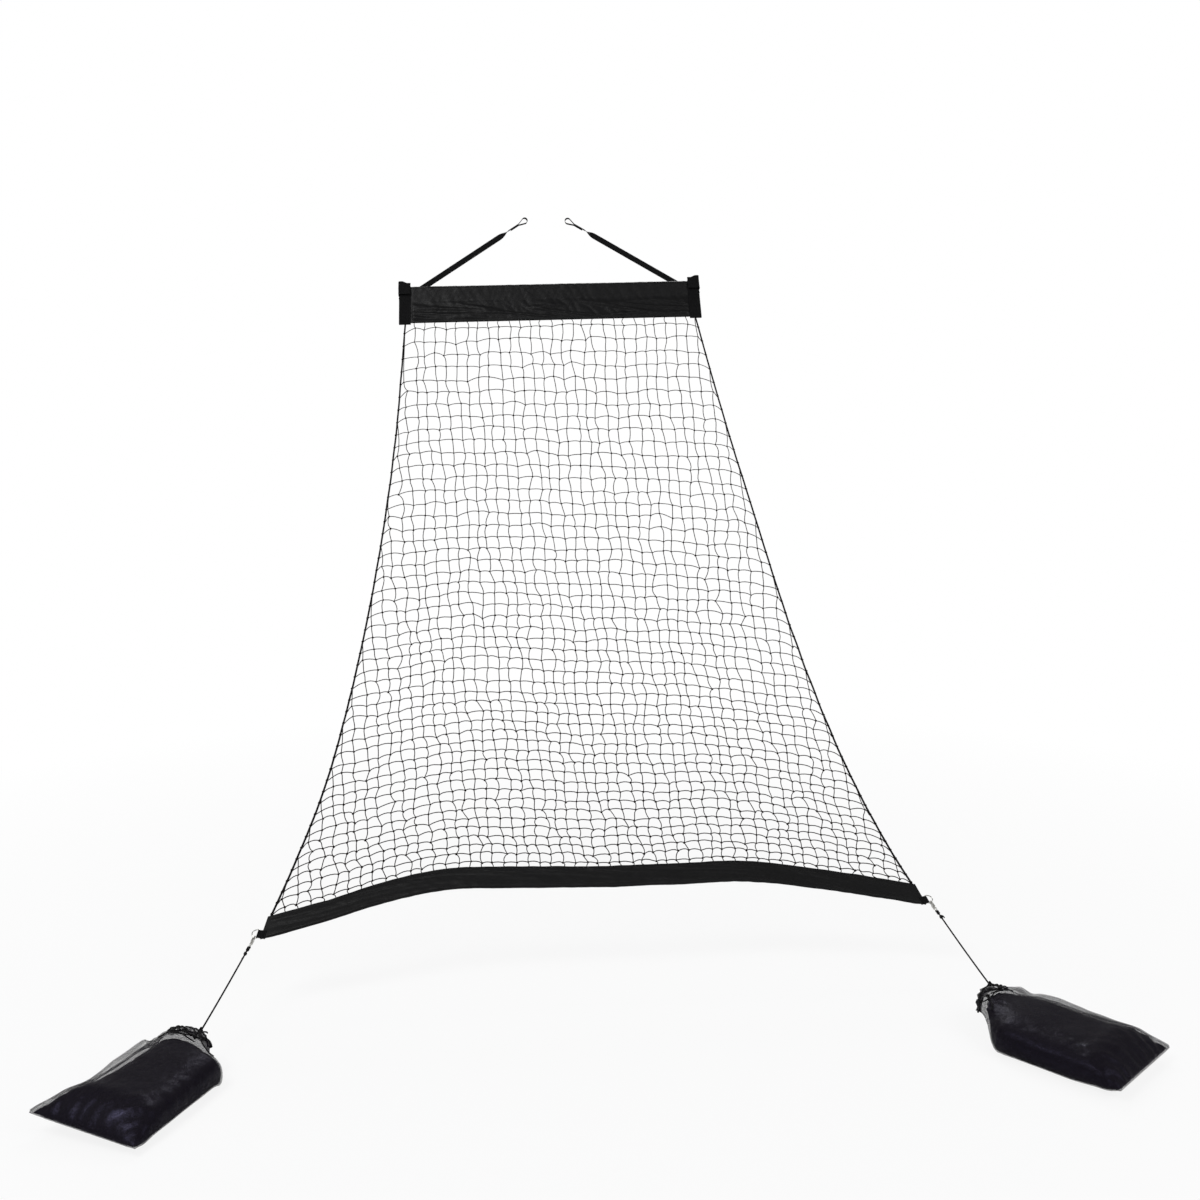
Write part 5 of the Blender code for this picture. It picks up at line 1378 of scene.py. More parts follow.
@dataclass
class Hem:
    """The cloth band along the net's lower edge, its cord, and the tab and D-ring at each corner."""

    fold_radius: float = 3.5 * MM
    half: float = 2.2 * MM
    core: float = 4.0 * MM
    cloth: float = 1.0 * MM
    flat_width: float = 0.165
    cord: float = 5.0 * MM
    tape: float = 1.6 * MM
    tab_width: float = 24.0 * MM
    tab_radius: float = 2.7 * MM
    tab_hold: float = 13.0 * MM
    wrinkle: float = 3.4 * MM
    stitch: float = 4.5 * MM
    thread: float = 0.7 * MM
    seams: tuple = (5.0 * MM, 12.0 * MM, PLAN.hem_height - 12.0 * MM)

    def build(self) -> None:
        """Build the band and both corners."""
        self.build_band()
        for side in Side:
            self.build_tab(side)
            self.build_ring(side)

    def lift(self, share: float, up: float, face: float) -> float:
        """Return how far the band's cloth stands off at a place, from its share along and its height."""
        x = share * PLAN.hem_span
        crumple = abs(ripple(x * 21.0 + up * 30.0, up * 19.0, face + 40.0))
        swell = 0.5 + 0.5 * ripple(x * 8.0, up * 10.0, face + 44.0)
        deep = pleat(x * 2.6, up * 52.0 + x * 3.0, face + 47.0, 3.4)
        ends = ease(x / 0.05) * ease((PLAN.hem_span - x) / 0.05)
        edge = ease((PLAN.hem_height - up - 5.0 * MM) / (14.0 * MM))
        return self.wrinkle * (0.55 * crumple + 0.45 * swell + 0.6 * deep) * ends * (0.15 + 0.85 * edge)

    def build_band(self) -> None:
        """Fold the band round its cord, with its wavy upper edge sewn to the net."""
        outline = fold(self.fold_radius, self.half, self.core - PLAN.hem_height, PLAN.hem_height / 2.0, 14)
        steps = list(zip(outline, runs(outline)))
        rows = []
        for share in shares(420):
            inside = ease(share / 0.02) * ease((1.0 - share) / 0.02)
            sway = 1.8 * MM * ripple(share * 40.0, 3.0, 50.0) * inside
            row = []
            for (y, z), run in steps:
                up = self.core - z
                rise = self.lift(share, up, 1.0 if y > 0.0 else -1.0)
                row.append(PLAN.hem_point(share, up + sway * ease(up / PLAN.hem_height) + run.x * rise,
                                          y + run.y * rise))
            rows.append(row)
        item = settle(sheeted("hem_cloth", rows, 0.8 * self.cloth), POLYESTER, "hem_band")
        path = [PLAN.hem_point(share, self.core) for share in shares(160, 0.001, 0.999)]
        settle(Shape().add_tube(path, self.cord / 2.0 - 0.1 * MM, 10).build("hem_rope"), BRAID, "hem_cord")
        lines = []
        for face in (-1.0, 1.0):
            for inset in self.seams:
                up = PLAN.hem_height - inset
                off = self.half + 0.55 * self.cloth
                lines.append([PLAN.hem_point(share, up, face * (off + self.lift(share, up, face)))
                              for share in shares(300)[2:-2]])
        sew("hem_stitches", lines, self.stitch, self.thread, "sleeve_cloth")

    def build_tab(self, side: Side) -> None:
        """Fold a webbing tab round the D-ring's straight bar and sew its legs over the hem's corner."""
        place = PLAN.corner(side)
        radius = self.tab_radius
        leg = [(x, self.half + 0.5 * self.cloth + 0.75 * self.tape)
               for x in shares(4, -self.tab_hold, -1.0 * MM)]
        leg += [(3.0 * MM, self.half + 1.2 * MM), (6.0 * MM, radius), (9.0 * MM, radius)]
        path = leg + arc((PLAN.tab_reach, 0.0), radius, 90.0 * DEG, -90.0 * DEG, 12)
        path += [(x, -z) for x, z in reversed(leg)]
        line = [place @ Vector((side.sign * x, PLAN.ring_foot, z)) for x, z in path]
        tab = tape(curved(line, 3), place.to_3x3() @ Vector((0.0, 1.0, 0.0)), self.tab_width, self.tape)
        settle(tab.build(f"corner_tab_{side.value}"), TAPE, f"hem_tab_{side.value}")
        off = self.half + 0.5 * self.cloth + 1.3 * self.tape
        box = [(-11.0, 8.0), (-2.0, 8.0), (-2.0, 26.0), (-11.0, 26.0), (-11.0, 8.0), (-2.0, 26.0)]
        lines = [[place @ Vector((side.sign * x * MM, y * MM, z)) for x, y in box] for z in (-off, off)]
        sew(f"tab_stitches_{side.value}", lines, 3.0 * MM, 0.8 * MM)

    @staticmethod
    def build_ring(side: Side) -> None:
        """Bend a D-ring from plated wire."""
        place = PLAN.corner(side)
        half, depth = PLAN.ring_half, PLAN.ring_depth
        path = [(0.0, y) for y in shares(16, -half, half)[:-1]]
        path += [(depth * x, half * y) for x, y in arc((0.0, 0.0), 1.0, 90.0 * DEG, -90.0 * DEG, 40)[:-1]]
        line = [place @ Vector((side.sign * (PLAN.tab_reach + x), PLAN.ring_foot + y, 0.0)) for x, y in path]
        ring = Shape().add_tube(line, PLAN.ring_wire / 2.0, 16, closed=True)
        settle(ring.build(f"ring_{side.value}_wire"), NICKEL, f"d_ring_{side.value}",
               body=f"ring_{side.value}")


@dataclass
class TensionLine:
    """One side's snap hook, its swivel eye, the cord and the knots at both its ends."""

    cord: float = 5.0 * MM
    sag: float = 2.0 * MM
    gap: float = 0.3 * MM
    bolt_travel: float = 4.5 * MM
    eye_level: float = 36.5 * MM
    eye_radius: float = 8.0 * MM
    eye_wire: float = 3.0 * MM
    barrel: tuple = (-20.7 * MM, -23.3 * MM, -25.5 * MM)
    stem: float = 1.3 * MM
    head: float = 2.2 * MM
    knot_length: float = 12.0 * MM
    knot_width: float = 10.5 * MM
    knot_levels: tuple = (-52.3 * MM, -71.3 * MM)
    loop: float = 3.8 * MM
    loop_cord: float = 4.0 * MM
    tail: tuple = ((3.2, 0.8, -70.0), (6.4, 2.2, -74.0), (8.4, 3.4, -80.0), (8.2, 4.2, -87.0))
    steps: int = 36
    sag_shares: tuple = (
        (0.0, 0.0), (0.08, 0.29), (0.16, 0.54), (0.24, 0.73), (0.32, 0.87), (0.40, 0.96), (0.48, 1.0),
        (0.56, 0.99), (0.64, 0.92), (0.72, 0.81), (0.80, 0.64), (0.88, 0.42), (0.94, 0.23), (1.0, 0.0))

    def build(self) -> None:
        """Build both lines, and dress their packed hooks."""
        for side in Side:
            self.build_hook_knot(side)
            self.build_cord(side, [self.build_bag_knot(side)])
            self.build_eye(side)
            for part, finish in (("hook_body", NICKEL), ("hook_bolt", NICKEL), ("hook_spring", SPRING)):
                dress_node(f"{part}_{side.value}", finish)
            self.press_spring(side)

    def press_spring(self, side: Side) -> None:
        """Give the coil spring a mesh of its own."""
        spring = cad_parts[f"hook_spring_{side.value}"]
        place = PLAN.line(side)
        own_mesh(spring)

    def route(self, side: Side) -> list[Vector]:
        """Return the free cord's centre line, from the hook's knots to the bag's."""
        place = PLAN.line(side)
        half = self.knot_length / 2.0 + self.gap
        start = place @ Vector((0.0, 0.0, self.knot_levels[1] - half))
        end = PLAN.knot(side) + place.to_3x3() @ (UP * half)
        return [start.lerp(end, share) - UP * (self.sag * smooth_share(self.sag_shares, share))
                for share in shares(self.steps)]

    def build_cord(self, side: Side, knots: list[Item]) -> None:
        """Lay the taut cord from the hook's knots to the bag's."""
        path = self.route(side)
        item = Shape().add_tube(path, self.cord / 2.0, 14).build(f"line_cord_{side.value}")
        settle(item, BRAID, f"tension_cord_{side.value}", body=f"line_{side.value}")
        LOG.info("%s cord is %.4f m long", side.value, length_of(path))

    def lump(self, shape: Shape, place: Matrix, middle: float, flip: float) -> None:
        """Add one tight overhand knot round Z: two turns and the strand that crosses them.

        Args:
            shape: What takes it.
            place: The frame it is in.
            middle: Its level.
            flip: 1 or -1, the hand of its turns.
        """
        strand = self.cord * 0.42
        reach = self.knot_width / 2.0 - strand
        high = self.knot_length / 2.0 - strand

        def coil(size: float, angle: float, rise: float) -> Vector:
            """Return a point of the knot's cord."""
            return place @ Vector((size * math.cos(angle) * flip, size * math.sin(angle),
                                   middle + high * rise))

        shape.add_tube([coil(reach, 2.2 * TURN * t, 1.0 - 2.0 * t) for t in shares(40)], strand, 10)
        shape.add_tube([coil(reach * 1.06, 0.6 + math.pi * t, 0.9 * math.sin(math.pi * (t - 0.5)))
                        for t in shares(16)], strand * 0.98, 10)
        half = self.knot_length / 2.0
        self.core(shape, place, middle + half, middle - half)

    def core(self, shape: Shape, place: Matrix, start: float, end: float) -> None:
        """Add the straight cord inside a knot, between two levels."""
        shape.add_tube([place @ (UP * z) for z in shares(6, start, end)], self.cord * 0.46, 12)

    def build_hook_knot(self, side: Side) -> None:
        """Tie the cord's end through the swivel eye, with two knots and a short tail."""
        place = PLAN.line(side)
        shape = Shape()
        first, second = self.knot_levels
        self.lump(shape, place, first, 1.0)
        self.lump(shape, place, second, -1.0)
        self.core(shape, place, first - 5.0 * MM, second + 5.0 * MM)
        bottom = -self.eye_level - self.eye_radius
        shape.add_tube([place @ Vector((0.0, self.loop * math.sin(a), bottom + self.loop * math.cos(a)))
                        for a in round_turn(28)], self.loop_cord / 2.0, 12, closed=True)
        line = curved([place @ (Vector(p) * MM) for p in self.tail], 5)
        shape.add_tube(line, lambda t: self.cord * (0.36 if t > 0.92 else 0.42), 10)
        settle(shape.build(f"hook_knots_{side.value}"), BRAID, f"hook_knot_{side.value}",
               body=f"swivel_{side.value}")

    def build_bag_knot(self, side: Side) -> Item:
        """Tie the cord at the sack's mouth, with two tails."""
        knot = PLAN.knot(side)
        place = Matrix.Translation(knot) @ PLAN.line(side).to_3x3().to_4x4()
        shape = Shape()
        self.lump(shape, place, 0.0, side.sign)
        for turn, fall in ((1.0, -0.012), (-1.0, -0.020)):
            stops = [place @ Vector((turn * 0.003, 0.0, 0.0)), place @ Vector((turn * 0.008, 0.002, 0.003)),
                     knot + Vector((turn * 0.013, 0.004, fall * 0.55)),
                     knot + Vector((turn * 0.015, 0.009, fall))]
            shape.add_tube(curved(stops, 5), self.cord * 0.4, 10)
        return settle(shape.build(f"mouth_knot_{side.value}"), BRAID, f"bag_knot_{side.value}",
                      body=f"line_{side.value}")

    def build_eye(self, side: Side) -> None:
        """Turn the swivel's stem and bend its eye."""
        place = PLAN.line(side)
        roof, floor, low = self.barrel
        roof, floor = roof - self.gap, floor + self.gap
        top = self.eye_radius - self.eye_level
        profile = [(0.02 * MM, top - 0.5 * MM), (self.stem * 1.5, top), (self.stem, low - 0.4 * MM),
                   (self.stem, floor), (self.head, floor), (self.head, roof), (0.02 * MM, roof)]
        rings = [[place @ Vector((r * math.cos(a), r * math.sin(a), z)) for a in round_turn(20)]
                 for r, z in profile]
        shape = Shape().add_grid(rings, around=True, caps=True)
        shape.add_tube([place @ Vector((self.eye_radius * math.cos(a), 0.0,
                                        self.eye_radius * math.sin(a) - self.eye_level))
                        for a in round_turn(48)], self.eye_wire / 2.0, 14, closed=True)
        settle(shape.build(f"swivel_{side.value}_eye"), NICKEL, f"swivel_eye_{side.value}",
               body=f"swivel_{side.value}")


@dataclass
class SandBag:
    """A pouch of sand in a drawstring sack of mesh, at the end of a line."""

    length: float = 0.395
    width: float = 0.330
    thickness: float = 0.106
    seam_thickness: float = 6.0 * MM
    seam_lift: float = 24.0 * MM
    mouth_width: float = 0.190
    gape: float = 5.5 * MM
    mouth_hem: float = 15.0 * MM
    spread: float = 1.5 * MM
    lips: tuple = (6.8 * MM, 6.6 * MM)
    pouch_inset: float = 2.4 * MM
    pouch_swell: float = 1.2 * MM
    pouch_fill: float = 0.75
    pouch_floor: float = 2.4 * MM
    voxel: float = 6.0 * MM
    pressure: float = 4.0
    stiffness: float = 0.4
    held: float = 12.0 * MM
    drawcord: float = 4.0 * MM
    strands: tuple = (
        ((2, -42, 1), (22, -28, 3), (38, -8, 4), (26, 8, 4), (8, 6, 3)),
        ((2, 40, 1), (18, 26, 3), (30, 10, 5), (20, -6, 5), (6, -4, 3)),
        ((6, -20, 2), (26, -16, 3), (44, -22, 2), (48, -34, 1)),
        ((6, 14, 2), (28, 20, 3), (44, 34, 2), (40, 46, 1)),
        ((30, -6, 4), (46, 2, 4), (52, 12, 2)))
    knots: tuple = ((16, 0, 5.0), (30, 9, 3.6), (24, -12, 3.6), (8, -36, 2.8), (8, 34, 2.8))
    ruffles: int = 13
    ruffle: float = 3.4 * MM
    fin: float = 0.031
    fin_angle: float = 163.0 * DEG
    tucks: tuple = (0.16, 0.40)
    slims: tuple = (
        ((0.0, 0.58), (0.12, 0.56), (0.30, 0.57), (0.55, 0.62), (0.80, 0.74), (0.93, 0.90), (1.0, 1.0)),
        ((0.0, 0.90), (0.12, 0.70), (0.30, 0.72), (0.55, 0.78), (0.80, 0.86), (0.93, 0.94), (1.0, 1.0)))
    sand_inset: float = 9.0 * MM
    pouch_start: float = 14.0 * MM
    tip_lifts: tuple = ((0.0, 0.032), (0.012, 0.012))
    hood: float = 5.0 * MM
    hood_fall: float = 24.0 * MM
    curl: float = 30.0 * MM
    side_power: float = 0.6
    top_power: float = 0.8
    base_flat: float = 1.3
    equator: float = 0.42
    sections: tuple = (
        (0.03, 0.90, 0.06, 0.98), (0.10, 0.97, 0.0, 1.0), (0.25, 1.0, 0.0, 1.0), (0.45, 0.995, 0.0, 0.96),
        (0.65, 1.0, 0.0, 0.93), (0.80, 1.0, 0.0, 0.86), (0.90, 0.995, 0.0, 0.62), (0.96, 0.99, 0.08, 0.44))

    def build(self) -> None:
        """Build both bags."""
        for side in Side:
            for make in (self.build_pouch, self.build_sack, self.build_hem, self.build_drawcord,
                         self.build_sand):
                make(side)

    def stations(self, side: Side) -> list[tuple[float, float, float, float]]:
        """Return the bag's known sections, as (along, width, low, high)."""
        mouth, half = side.pick(self.lips), self.gape / 2.0
        wide, level = half + self.spread, PLAN.mouth_height
        reach = side.pick(PLAN.lines).mouth_reach
        rows = [(mouth, self.mouth_width, level - half, level + half),
                (mouth + self.mouth_hem, self.mouth_width + 2.0 * self.spread, level - wide, level + wide)]
        rows += [(reach + self.length * a, self.width * w, self.thickness * low, self.thickness * high)
                 for a, w, low, high in self.sections]
        flat = self.seam_thickness / 2.0
        return rows + [(reach + self.length, self.width, self.seam_lift - flat, self.seam_lift + flat)]

    def read(self, side: Side, x: float, column: int) -> float:
        """Return the bag's width, low or high level, by its column in the stations, at a place along it."""
        rows = self.stations(side)
        first, span = rows[0][0], rows[-1][0] - rows[0][0]
        return smooth_share([((row[0] - first) / span, row[column]) for row in rows], (x - first) / span)

    def along(self, side: Side, x: float) -> float:
        """Return a place along the bag as a share of its length."""
        rows = self.stations(side)
        return (x - rows[0][0]) / (rows[-1][0] - rows[0][0])

    def aside(self, side: Side, y: float, width: float) -> float:
        """Return a place across the bag as a share of half a width, less than 0 on one side of its middle."""
        return 2.0 * (y + side.pick(PLAN.lines).bag_offset) / width

    def spot(self, side: Side, x: float, angle: float, inset: float) -> Vector:
        """Return a point of the bag's skin in the bag's frame.

        Args:
            side: Which bag.
            x: The place along it.
            angle: The angle round its section, from +Y over the top.
            inset: How far inside the outer skin.

        Returns:
            The point.
        """
        width, low, high = (self.read(side, x, column) for column in (1, 2, 3))
        inset = min(inset, (high - low) * 0.42)
        low, high = low + inset, high - inset
        middle = low + (high - low) * self.equator
        c, s = math.cos(angle), math.sin(angle)
        y = (width / 2.0 - inset) * math.copysign(abs(c) ** self.side_power, c)
        if y * side.sign > 0.0:
            y *= smooth_share(side.pick(self.slims), self.along(side, x))
        if s >= 0.0:
            z = middle + (high - middle) * abs(s) ** self.top_power
        else:
            z = middle - (middle - low) * min(1.0, self.base_flat * abs(s) ** self.top_power)
        return Vector((x, y - side.pick(PLAN.lines).bag_offset, z))

    def raised(self, side: Side, x: float, y: float) -> float:
        """Return how far the far seam and its corners are lifted at a place of the bag."""
        near = ease((x - self.stations(side)[-1][0]) / 0.16 + 1.0)
        low, high = side.pick(self.tip_lifts)
        share = 0.5 + 0.5 * side.sign * self.aside(side, y, self.width)
        return near * (low + (high - low) * min(max(share, 0.0), 1.0))

    def gather(self, side: Side, x: float) -> float:
        """Return how strongly the mouth's gathers show at a place along the bag."""
        rows = self.stations(side)
        return 1.0 - ease((x - rows[0][0]) / (rows[2][0] + 0.06 - rows[0][0]))

    def hooded(self, side: Side, x: float, y: float) -> Vector:
        """Return how the mouth's middle stands up, and its ends hang and lie back, at a place of the bag."""
        aside = min(self.aside(side, y, self.mouth_width) ** 2, 1.2)
        return Vector((self.curl * aside, 0.0, self.hood - self.hood_fall * aside)) * self.gather(side, x)

    def tucked(self, side: Side, share: float, y: float) -> float:
        """Return how far the pouch stays inside the sack on its fin side, as a factor of its width."""
        if y * side.sign <= 0.0:
            return 1.0
        return 1.0 - side.pick(self.tucks) * (1.0 - ease((share - 0.25) / 0.7)) * ease(abs(y) / 0.06)

    def dress(self, side: Side, item: Item, finish: Finish, node: str) -> Item:
        """Settle a piece that stands for one of the bag's nodes."""
        return settle(item, finish, f"{node}_{side.value}", body=f"bag_{side.value}")

    def build_sand(self, side: Side) -> None:
        """Heap the dry sand that fills the pouch."""
        place = PLAN.bag(side)
        rows = self.stations(side)
        first, last = rows[2][0] + 0.040, rows[-1][0] - 0.030
        rings = []
        for share in shares(40):
            inset = self.sand_inset * (2.2 - 0.6 * ease(share * 8.0) - 0.6 * ease((1.0 - share) * 8.0))
            ring = []
            for angle in round_turn(48):
                p = self.spot(side, first + (last - first) * share, angle, inset)
                p.y *= self.tucked(side, share - 0.02, p.y)
                ring.append(place @ (p + UP * self.raised(side, p.x, p.y)))
            rings.append(ring)
        self.dress(side, skin(f"sand_{side.value}", rings, SMOOTH), SAND, "sand_fill")

    def build_pouch(self, side: Side) -> None:
        """Fill a pouch with sand: loft it, let cloth simulation swell it, and crease it."""
        rows = self.stations(side)
        first, last = rows[1][0] + self.pouch_start, rows[-1][0] - 2.0 * MM
        rings = []
        for share in shares(48):
            x = first + (last - first) * share
            middle = 0.5 * (self.read(side, x, 2) + self.read(side, x, 3))
            ring = []
            for angle in round_turn(72):
                point = self.spot(side, x, angle, self.pouch_inset)
                point.y *= self.tucked(side, share, point.y)
                flat = Vector((x, point.y * 0.9, middle + 2.0 * MM * math.sin(angle)))
                point = flat.lerp(point, ease(share / 0.07))
                ring.append(point + self.hooded(side, x, point.y))
            rings.append(ring)
        item = skin(f"pouch_{side.value}", rings, SMOOTH)
        self.swell(item, (first, last))
        self.crease(item, side, (first, last))
        item.data.transform(PLAN.bag(side))
        smooth = item.modifiers.new("smooth", "SUBSURF")
        smooth.levels = smooth.render_levels = 1
        self.dress(side, item, VINYL, "sand_pouch")

    def swell(self, item: Item, ends: Pair) -> None:
        """Press a closed shell out from inside, and keep what the cloth does.

        Args:
            item: The shell, in the bag's frame.
            ends: Where its two pressed seams are; they are held.
        """
        graph = bpy.context.evaluated_depsgraph_get
        even = item.modifiers.new("even", "REMESH")
        even.mode, even.voxel_size = "VOXEL", self.voxel
        remade = bpy.data.meshes.new_from_object(item.evaluated_get(graph()))
        item.modifiers.remove(even)
        item.data = remade
        start = [v.co.copy() for v in remade.vertices]
        held = item.vertex_groups.new(name="held")
        held.add([k for k, p in enumerate(start) if p.x > ends[1] - self.held or p.x < ends[0] + self.held
                  or p.z < 6.0 * MM], 1.0, "REPLACE")
        cloth = item.modifiers.new("fabric", "CLOTH")
        rules = cloth.settings
        rules.use_pressure = True
        rules.uniform_pressure_force = self.pressure
        rules.effector_weights.gravity = 0.0
        rules.vertex_group_mass = held.name
        rules.quality = 6
        rules.bending_stiffness = self.stiffness
        scene = bpy.context.scene
        for step in range(1, 21):
            scene.frame_set(step)
        pressed = [v.co.copy() for v in item.evaluated_get(graph()).data.vertices]
        item.modifiers.remove(cloth)
        item.vertex_groups.clear()
        scene.frame_set(1)
        for vertex, old, new in zip(item.data.vertices, start, pressed):
            move = new - old
            vertex.co = old + move * min(1.0, self.pouch_swell / max(move.length, 1e-9))

    def crease(self, item: Item, side: Side, ends: Pair) -> None:
        """Press crescents into the far end, soft dents into the top, and keep the base on the ground."""
        centre = -side.pick(PLAN.lines).bag_offset
        tips = [centre + s * self.width / 2.0 for s in (-1.0, 1.0)]
        offs = [v.normal.copy() for v in item.data.vertices]
        for vertex, off in zip(item.data.vertices, offs):
            p = vertex.co
            far = (p.x - ends[0]) / (ends[1] - ends[0])
            top = ease((p.z - 0.018) / 0.03)
            corner = min(math.hypot(p.x - ends[1], p.y - tip) for tip in tips)
            bend = ripple(p.x * 9.0, p.y * 9.0, side.sign + 60.0)
            crescents = math.sin(corner * 150.0 + 5.0 * bend) * math.exp(-corner * 11.0)
            pulls = ripple(p.x * 11.0, p.y * 42.0, side.sign + 64.0) * ease((far - 0.62) / 0.3)
            dents = ripple(p.x * 7.5, p.y * 7.5, side.sign + 70.0)
            small = max(1.0 - abs(ripple(p.x * 22.0, p.y * 22.0, side.sign + 75.0)) * 2.0, 0.0)
            depth = MM * (3.2 * crescents + 1.7 * pulls + 3.0 * dents - 1.2 * small ** 6)
            vertex.co = p + off * (min(depth, 1.2 * MM) * (0.25 + 0.75 * top) - 0.6 * MM)
            vertex.co.z = max(vertex.co.z, self.pouch_floor) + self.raised(side, p.x, p.y)

    def angles(self, side: Side) -> list[float]:
        """Return the angles round the sack, closer together at its fin."""
        at = self.fin_at(side)
        return shares(18, at - 0.108, at + 0.108) + shares(84, at + 0.12, at + TURN - 0.12)[1:-1]

    def fin_at(self, side: Side) -> float:
        """Return the angle of the sack's fin: on its edge away from the front."""
        return side.pick((self.fin_angle, math.pi - self.fin_angle))

    def sack_spot(self, side: Side, x: float, angle: float) -> Vector:
        """Return a point of the mesh sack, with its fin, its gathers and its ruffled mouth."""
        mouth = side.pick(self.lips)
        point = self.spot(side, x, angle, 0.4 * MM)
        along = self.along(side, x)
        turn = (angle - self.fin_at(side) + math.pi) % TURN - math.pi
        tall = self.fin * ease(along / 0.12) * (1.0 - 0.74 * ease((along - 0.10) / 0.90))
        tall *= (1.0 + 0.12 * ripple(x * 17.0, 1.0, side.sign + 80.0)) * math.exp(-(turn / 0.042) ** 2)
        lean = side.sign * (0.28 + 0.3 * ripple(x * 12.0, 4.0, side.sign + 81.0))
        point += Vector((0.0, lean, 1.0)).normalized() * tall
        phase = self.ruffles * TURN * point.y / self.mouth_width + side.sign
        face = 1.0 if math.sin(angle) >= 0.0 else -1.0
        wave = math.sin(phase + 3.3 * ripple(x * 14.0, point.y * 8.0, 83.0))
        point.z += self.ruffle * self.gather(side, x) * (0.55 * wave + 0.35 * face)
        point.x -= 3.0 * MM * math.cos(phase * 0.5 + face) * ease((mouth - x) / 0.02 + 1.0)
        slack = 1.5 * MM * ripple(x * 24.0, point.y * 24.0, face + side.sign + 85.0)
        point.z += slack * ease((point.z - 0.03) / 0.03)
        point += self.hooded(side, x, point.y)
        point.z = max(point.z, 0.9 * MM) + self.raised(side, point.x, point.y)
        return point

    def build_sack(self, side: Side) -> None:
        """Draw a sack of knitted mesh over the pouch, with an empty fold standing along one edge."""
        place = PLAN.bag(side)
        mouth, last = side.pick(self.lips), self.stations(side)[-1][0]
        angles = self.angles(side)
        rings = [[self.sack_spot(side, x, angle) for angle in angles] for x in shares(110, mouth, last)]
        end = rings[-1]
        for k in range(1, 5):
            pinched = []
            for p in end:
                level = self.seam_lift + self.raised(side, last, p.y)
                pinched.append(Vector((last + k * 0.6 * MM, p.y, p.z + (level - p.z) * ease(k / 4.0) * 0.96)))
            rings.append(pinched)
        sack = Shape().add_grid([[place @ p for p in ring] for ring in rings], around=True)
        item = self.dress(side, sack.build(f"mesh_sack_cloth_{side.value}", SMOOTH), MESH, "mesh_sack")

    def build_hem(self, side: Side) -> None:
        """Double the mesh back at the mouth, where the drawcord runs."""
        place = PLAN.bag(side)
        mouth = side.pick(self.lips)
        angles = self.angles(side)
        rings = []
        for share in shares(8):
            x = mouth - 0.5 * MM + (self.mouth_hem + 3.0 * MM) * share
            puff = 1.2 * MM * math.sin(math.pi * share) + 0.3 * MM
            rings.append([place @ (self.sack_spot(side, x, a)
                                   + Vector((0.0, 0.3 * math.cos(a), math.sin(a))) * puff) for a in angles])
        hem = Shape().add_grid(rings, around=True).build(f"mouth_hem_{side.value}", SMOOTH)
        self.dress(side, hem, MESH_HEM, "mesh_sack")

    def build_drawcord(self, side: Side) -> None:
        """Thread the drawcord round the mouth, with its two crossing ends."""
        place = PLAN.bag(side)
        x = side.pick(self.lips) + self.mouth_hem / 2.0

        def on_skin(along: float, aside: float, up: float) -> Vector:
            """Return a point over the mouth, in mm along the bag, degrees off its top and metres up."""
            return self.sack_spot(side, x + along * MM, (90.0 - aside) * DEG) + UP * up

        ring = [self.sack_spot(side, x, a) for a in round_turn(120)]
        path = [place @ (here + Vector((0.0, run.z, -run.y)).normalized() * (self.drawcord / 2.0 + 1.0 * MM))
                for here, run in zip(ring, runs(ring, closed=True))]
        shape = Shape().add_tube(path, self.drawcord / 2.0, 8, closed=True)
        for stops in self.strands:
            line = [place @ on_skin(along, aside, self.drawcord * 0.5 + up * MM)
                    for along, aside, up in stops]
            shape.add_tube(curved(line, 6), self.drawcord * 0.45, 8)
        for along, aside, reach in self.knots:
            middle = on_skin(along, aside, 3.0 * MM)
            turns = [place @ (middle + MM * Vector((reach * math.cos(a), reach * math.sin(a), 0.5 * (a - 6.5))))
                     for a in shares(40, 0.0, 2.1 * TURN)]
            shape.add_tube(turns, self.drawcord * 0.5, 8)
        self.dress(side, shape.build(f"mouth_cord_{side.value}"), BRAID, "drawcord")


# ---------------------------------------------------------------- studio

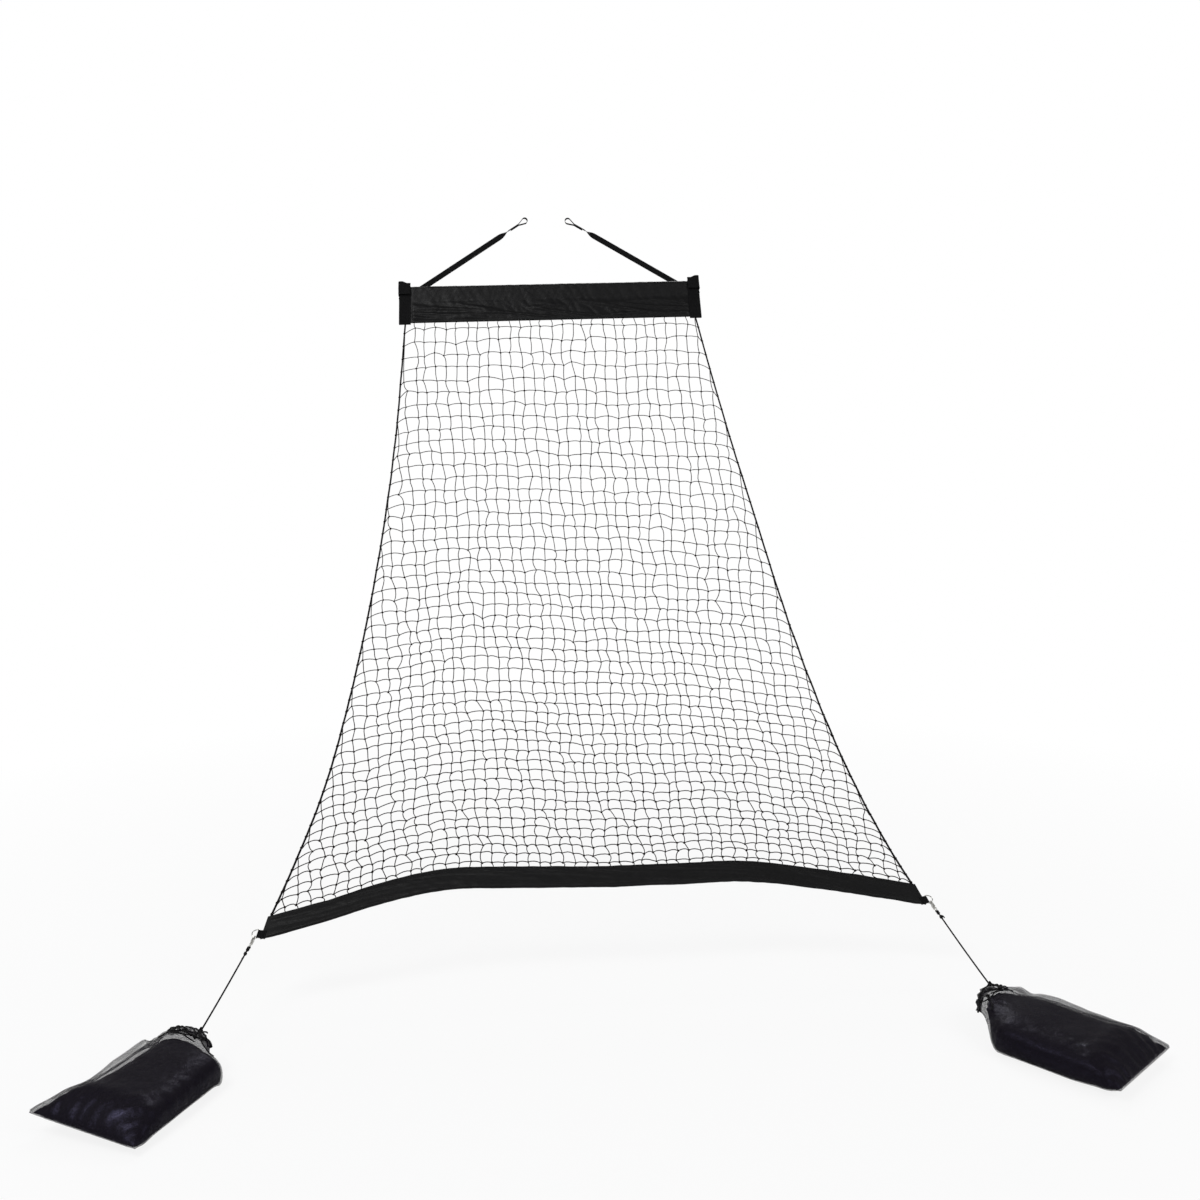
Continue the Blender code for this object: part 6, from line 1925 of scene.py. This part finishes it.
@dataclass
class Studio:
    """The pale floor, the soft lamps and the camera."""

    focal: float = 37.155
    sensor: float = 36.0
    shift_y: float = -0.1053
    eye: tuple = (-0.1499, -5.4829, -0.9687)
    yaw: float = 0.0693
    pitch: float = 0.0265
    roll: float = -0.0064
    reach: float = 200.0
    backdrop: str = "#ffffff"
    ground: str = "#e9e9ea"
    clear: tuple = (1.4, 4.2)  # how far from the net's middle the floor's shadow fades out
    aim: tuple = (0.1, -1.2, -1.6)
    lamps: tuple = (("key", (-3.4, -4.2, 3.4), 2.6, 225.0), ("fill", (4.2, -4.6, 1.2), 3.0, 90.0),
                    ("back", (0.8, 4.0, 2.4), 3.2, 150.0))

    def build(self) -> None:
        """Build everything round the object."""
        self.build_floor()
        self.build_world()
        for name, place, size, power in self.lamps:
            self.build_lamp(name, place, size, power)
        self.build_camera()
        bpy.context.scene.view_settings.view_transform = "Standard"

    def build_floor(self) -> None:
        """Lay a wide floor that looks like the backdrop but keeps the shadow."""
        shape = Shape().add_grid([[Vector((x, y, PLAN.floor)) for y in (-40.0, 60.0)] for x in (-50.0, 50.0)])
        floor = shape.build("floor")
        made = bpy.data.materials.new("studio_floor")
        made.use_nodes = True
        made.node_tree.nodes.clear()
        add = partial(add_node, made.node_tree)
        away = add("ShaderNodeVectorMath", {"operation": "DISTANCE", 1: (0.1, -1.6, PLAN.floor)},
                   {0: add("ShaderNodeTexCoord", out="Object")}, "Value")
        clear = add("ShaderNodeMapRange", {1: self.clear[0], 2: self.clear[1], 3: 0.86, 4: 1.0}, {0: away})
        half = add("ShaderNodeMath", {"operation": "MULTIPLY"}, {0: self.direct(add), 1: clear})
        shade = add("ShaderNodeBsdfDiffuse", {"Color": linear(self.ground)})
        glow = add("ShaderNodeEmission", {"Color": linear(self.backdrop), "Strength": 1.0})
        add("ShaderNodeOutputMaterial", {}, {0: add("ShaderNodeMixShader", {}, {0: half, 1: shade, 2: glow})})
        floor.data.materials.append(made)

    @staticmethod
    def direct(add: Callable[..., Socket]) -> Socket:
        """Return 1 for rays from the camera, straight or through a gap, and 0 for others."""
        seen = add("ShaderNodeLightPath").node.outputs
        return add("ShaderNodeMath", {"operation": "MAXIMUM"},
                   {0: seen["Is Camera Ray"], 1: seen["Is Transmission Ray"]})

    def build_world(self) -> None:
        """Make the air white to look at, and an even soft light otherwise."""
        world = bpy.data.worlds.new("studio_air")
        bpy.context.scene.world = world
        world.use_nodes = True
        world.node_tree.nodes.clear()
        add = partial(add_node, world.node_tree)
        soft = add("ShaderNodeBackground", {"Color": linear("#ffffff"), "Strength": 0.3})
        white = add("ShaderNodeBackground", {"Color": linear(self.backdrop), "Strength": 1.0})
        mix = add("ShaderNodeMixShader", {}, {0: self.direct(add), 1: soft, 2: white})
        add("ShaderNodeOutputWorld", {}, {0: mix})

    def build_lamp(self, name: str, place: tuple[float, float, float], size: float, power: float) -> None:
        """Hang one soft square lamp, aimed at the middle of the net."""
        lamp = bpy.data.lights.new(name, "AREA")
        lamp.size, lamp.energy = size, power
        item = placed(name, lamp)
        item.location = place
        item.rotation_euler = (Vector(self.aim) - Vector(place)).to_track_quat("-Z", "Y").to_euler()

    def build_camera(self) -> None:
        """Set the camera where the photograph was taken from."""
        flat = math.cos(self.pitch)
        ahead = Vector((math.sin(self.yaw) * flat, math.cos(self.yaw) * flat, -math.sin(self.pitch)))
        right = Vector((math.cos(self.yaw), -math.sin(self.yaw), 0.0))
        up = right.cross(ahead)
        c, s = math.cos(self.roll), math.sin(self.roll)
        lens = bpy.data.cameras.new("camera")
        lens.lens, lens.sensor_width, lens.sensor_fit = self.focal, self.sensor, "HORIZONTAL"
        lens.shift_y, lens.clip_end = self.shift_y, self.reach
        item = placed("camera", lens)
        item.matrix_world = axes(Vector(self.eye), right * c + up * s, up * c - right * s, -ahead)
        bpy.context.scene.camera = item


def main() -> None:
    """Build the studio and every sub-assembly."""
    logging.basicConfig(level=logging.INFO, format="%(message)s")
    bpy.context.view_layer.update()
    Studio().build()
    for part in (TensionLine(), Net(), TopSleeve(), HangingStraps(), Hem(), SandBag()):
        part.build()


if __name__ == "__main__":
    main()
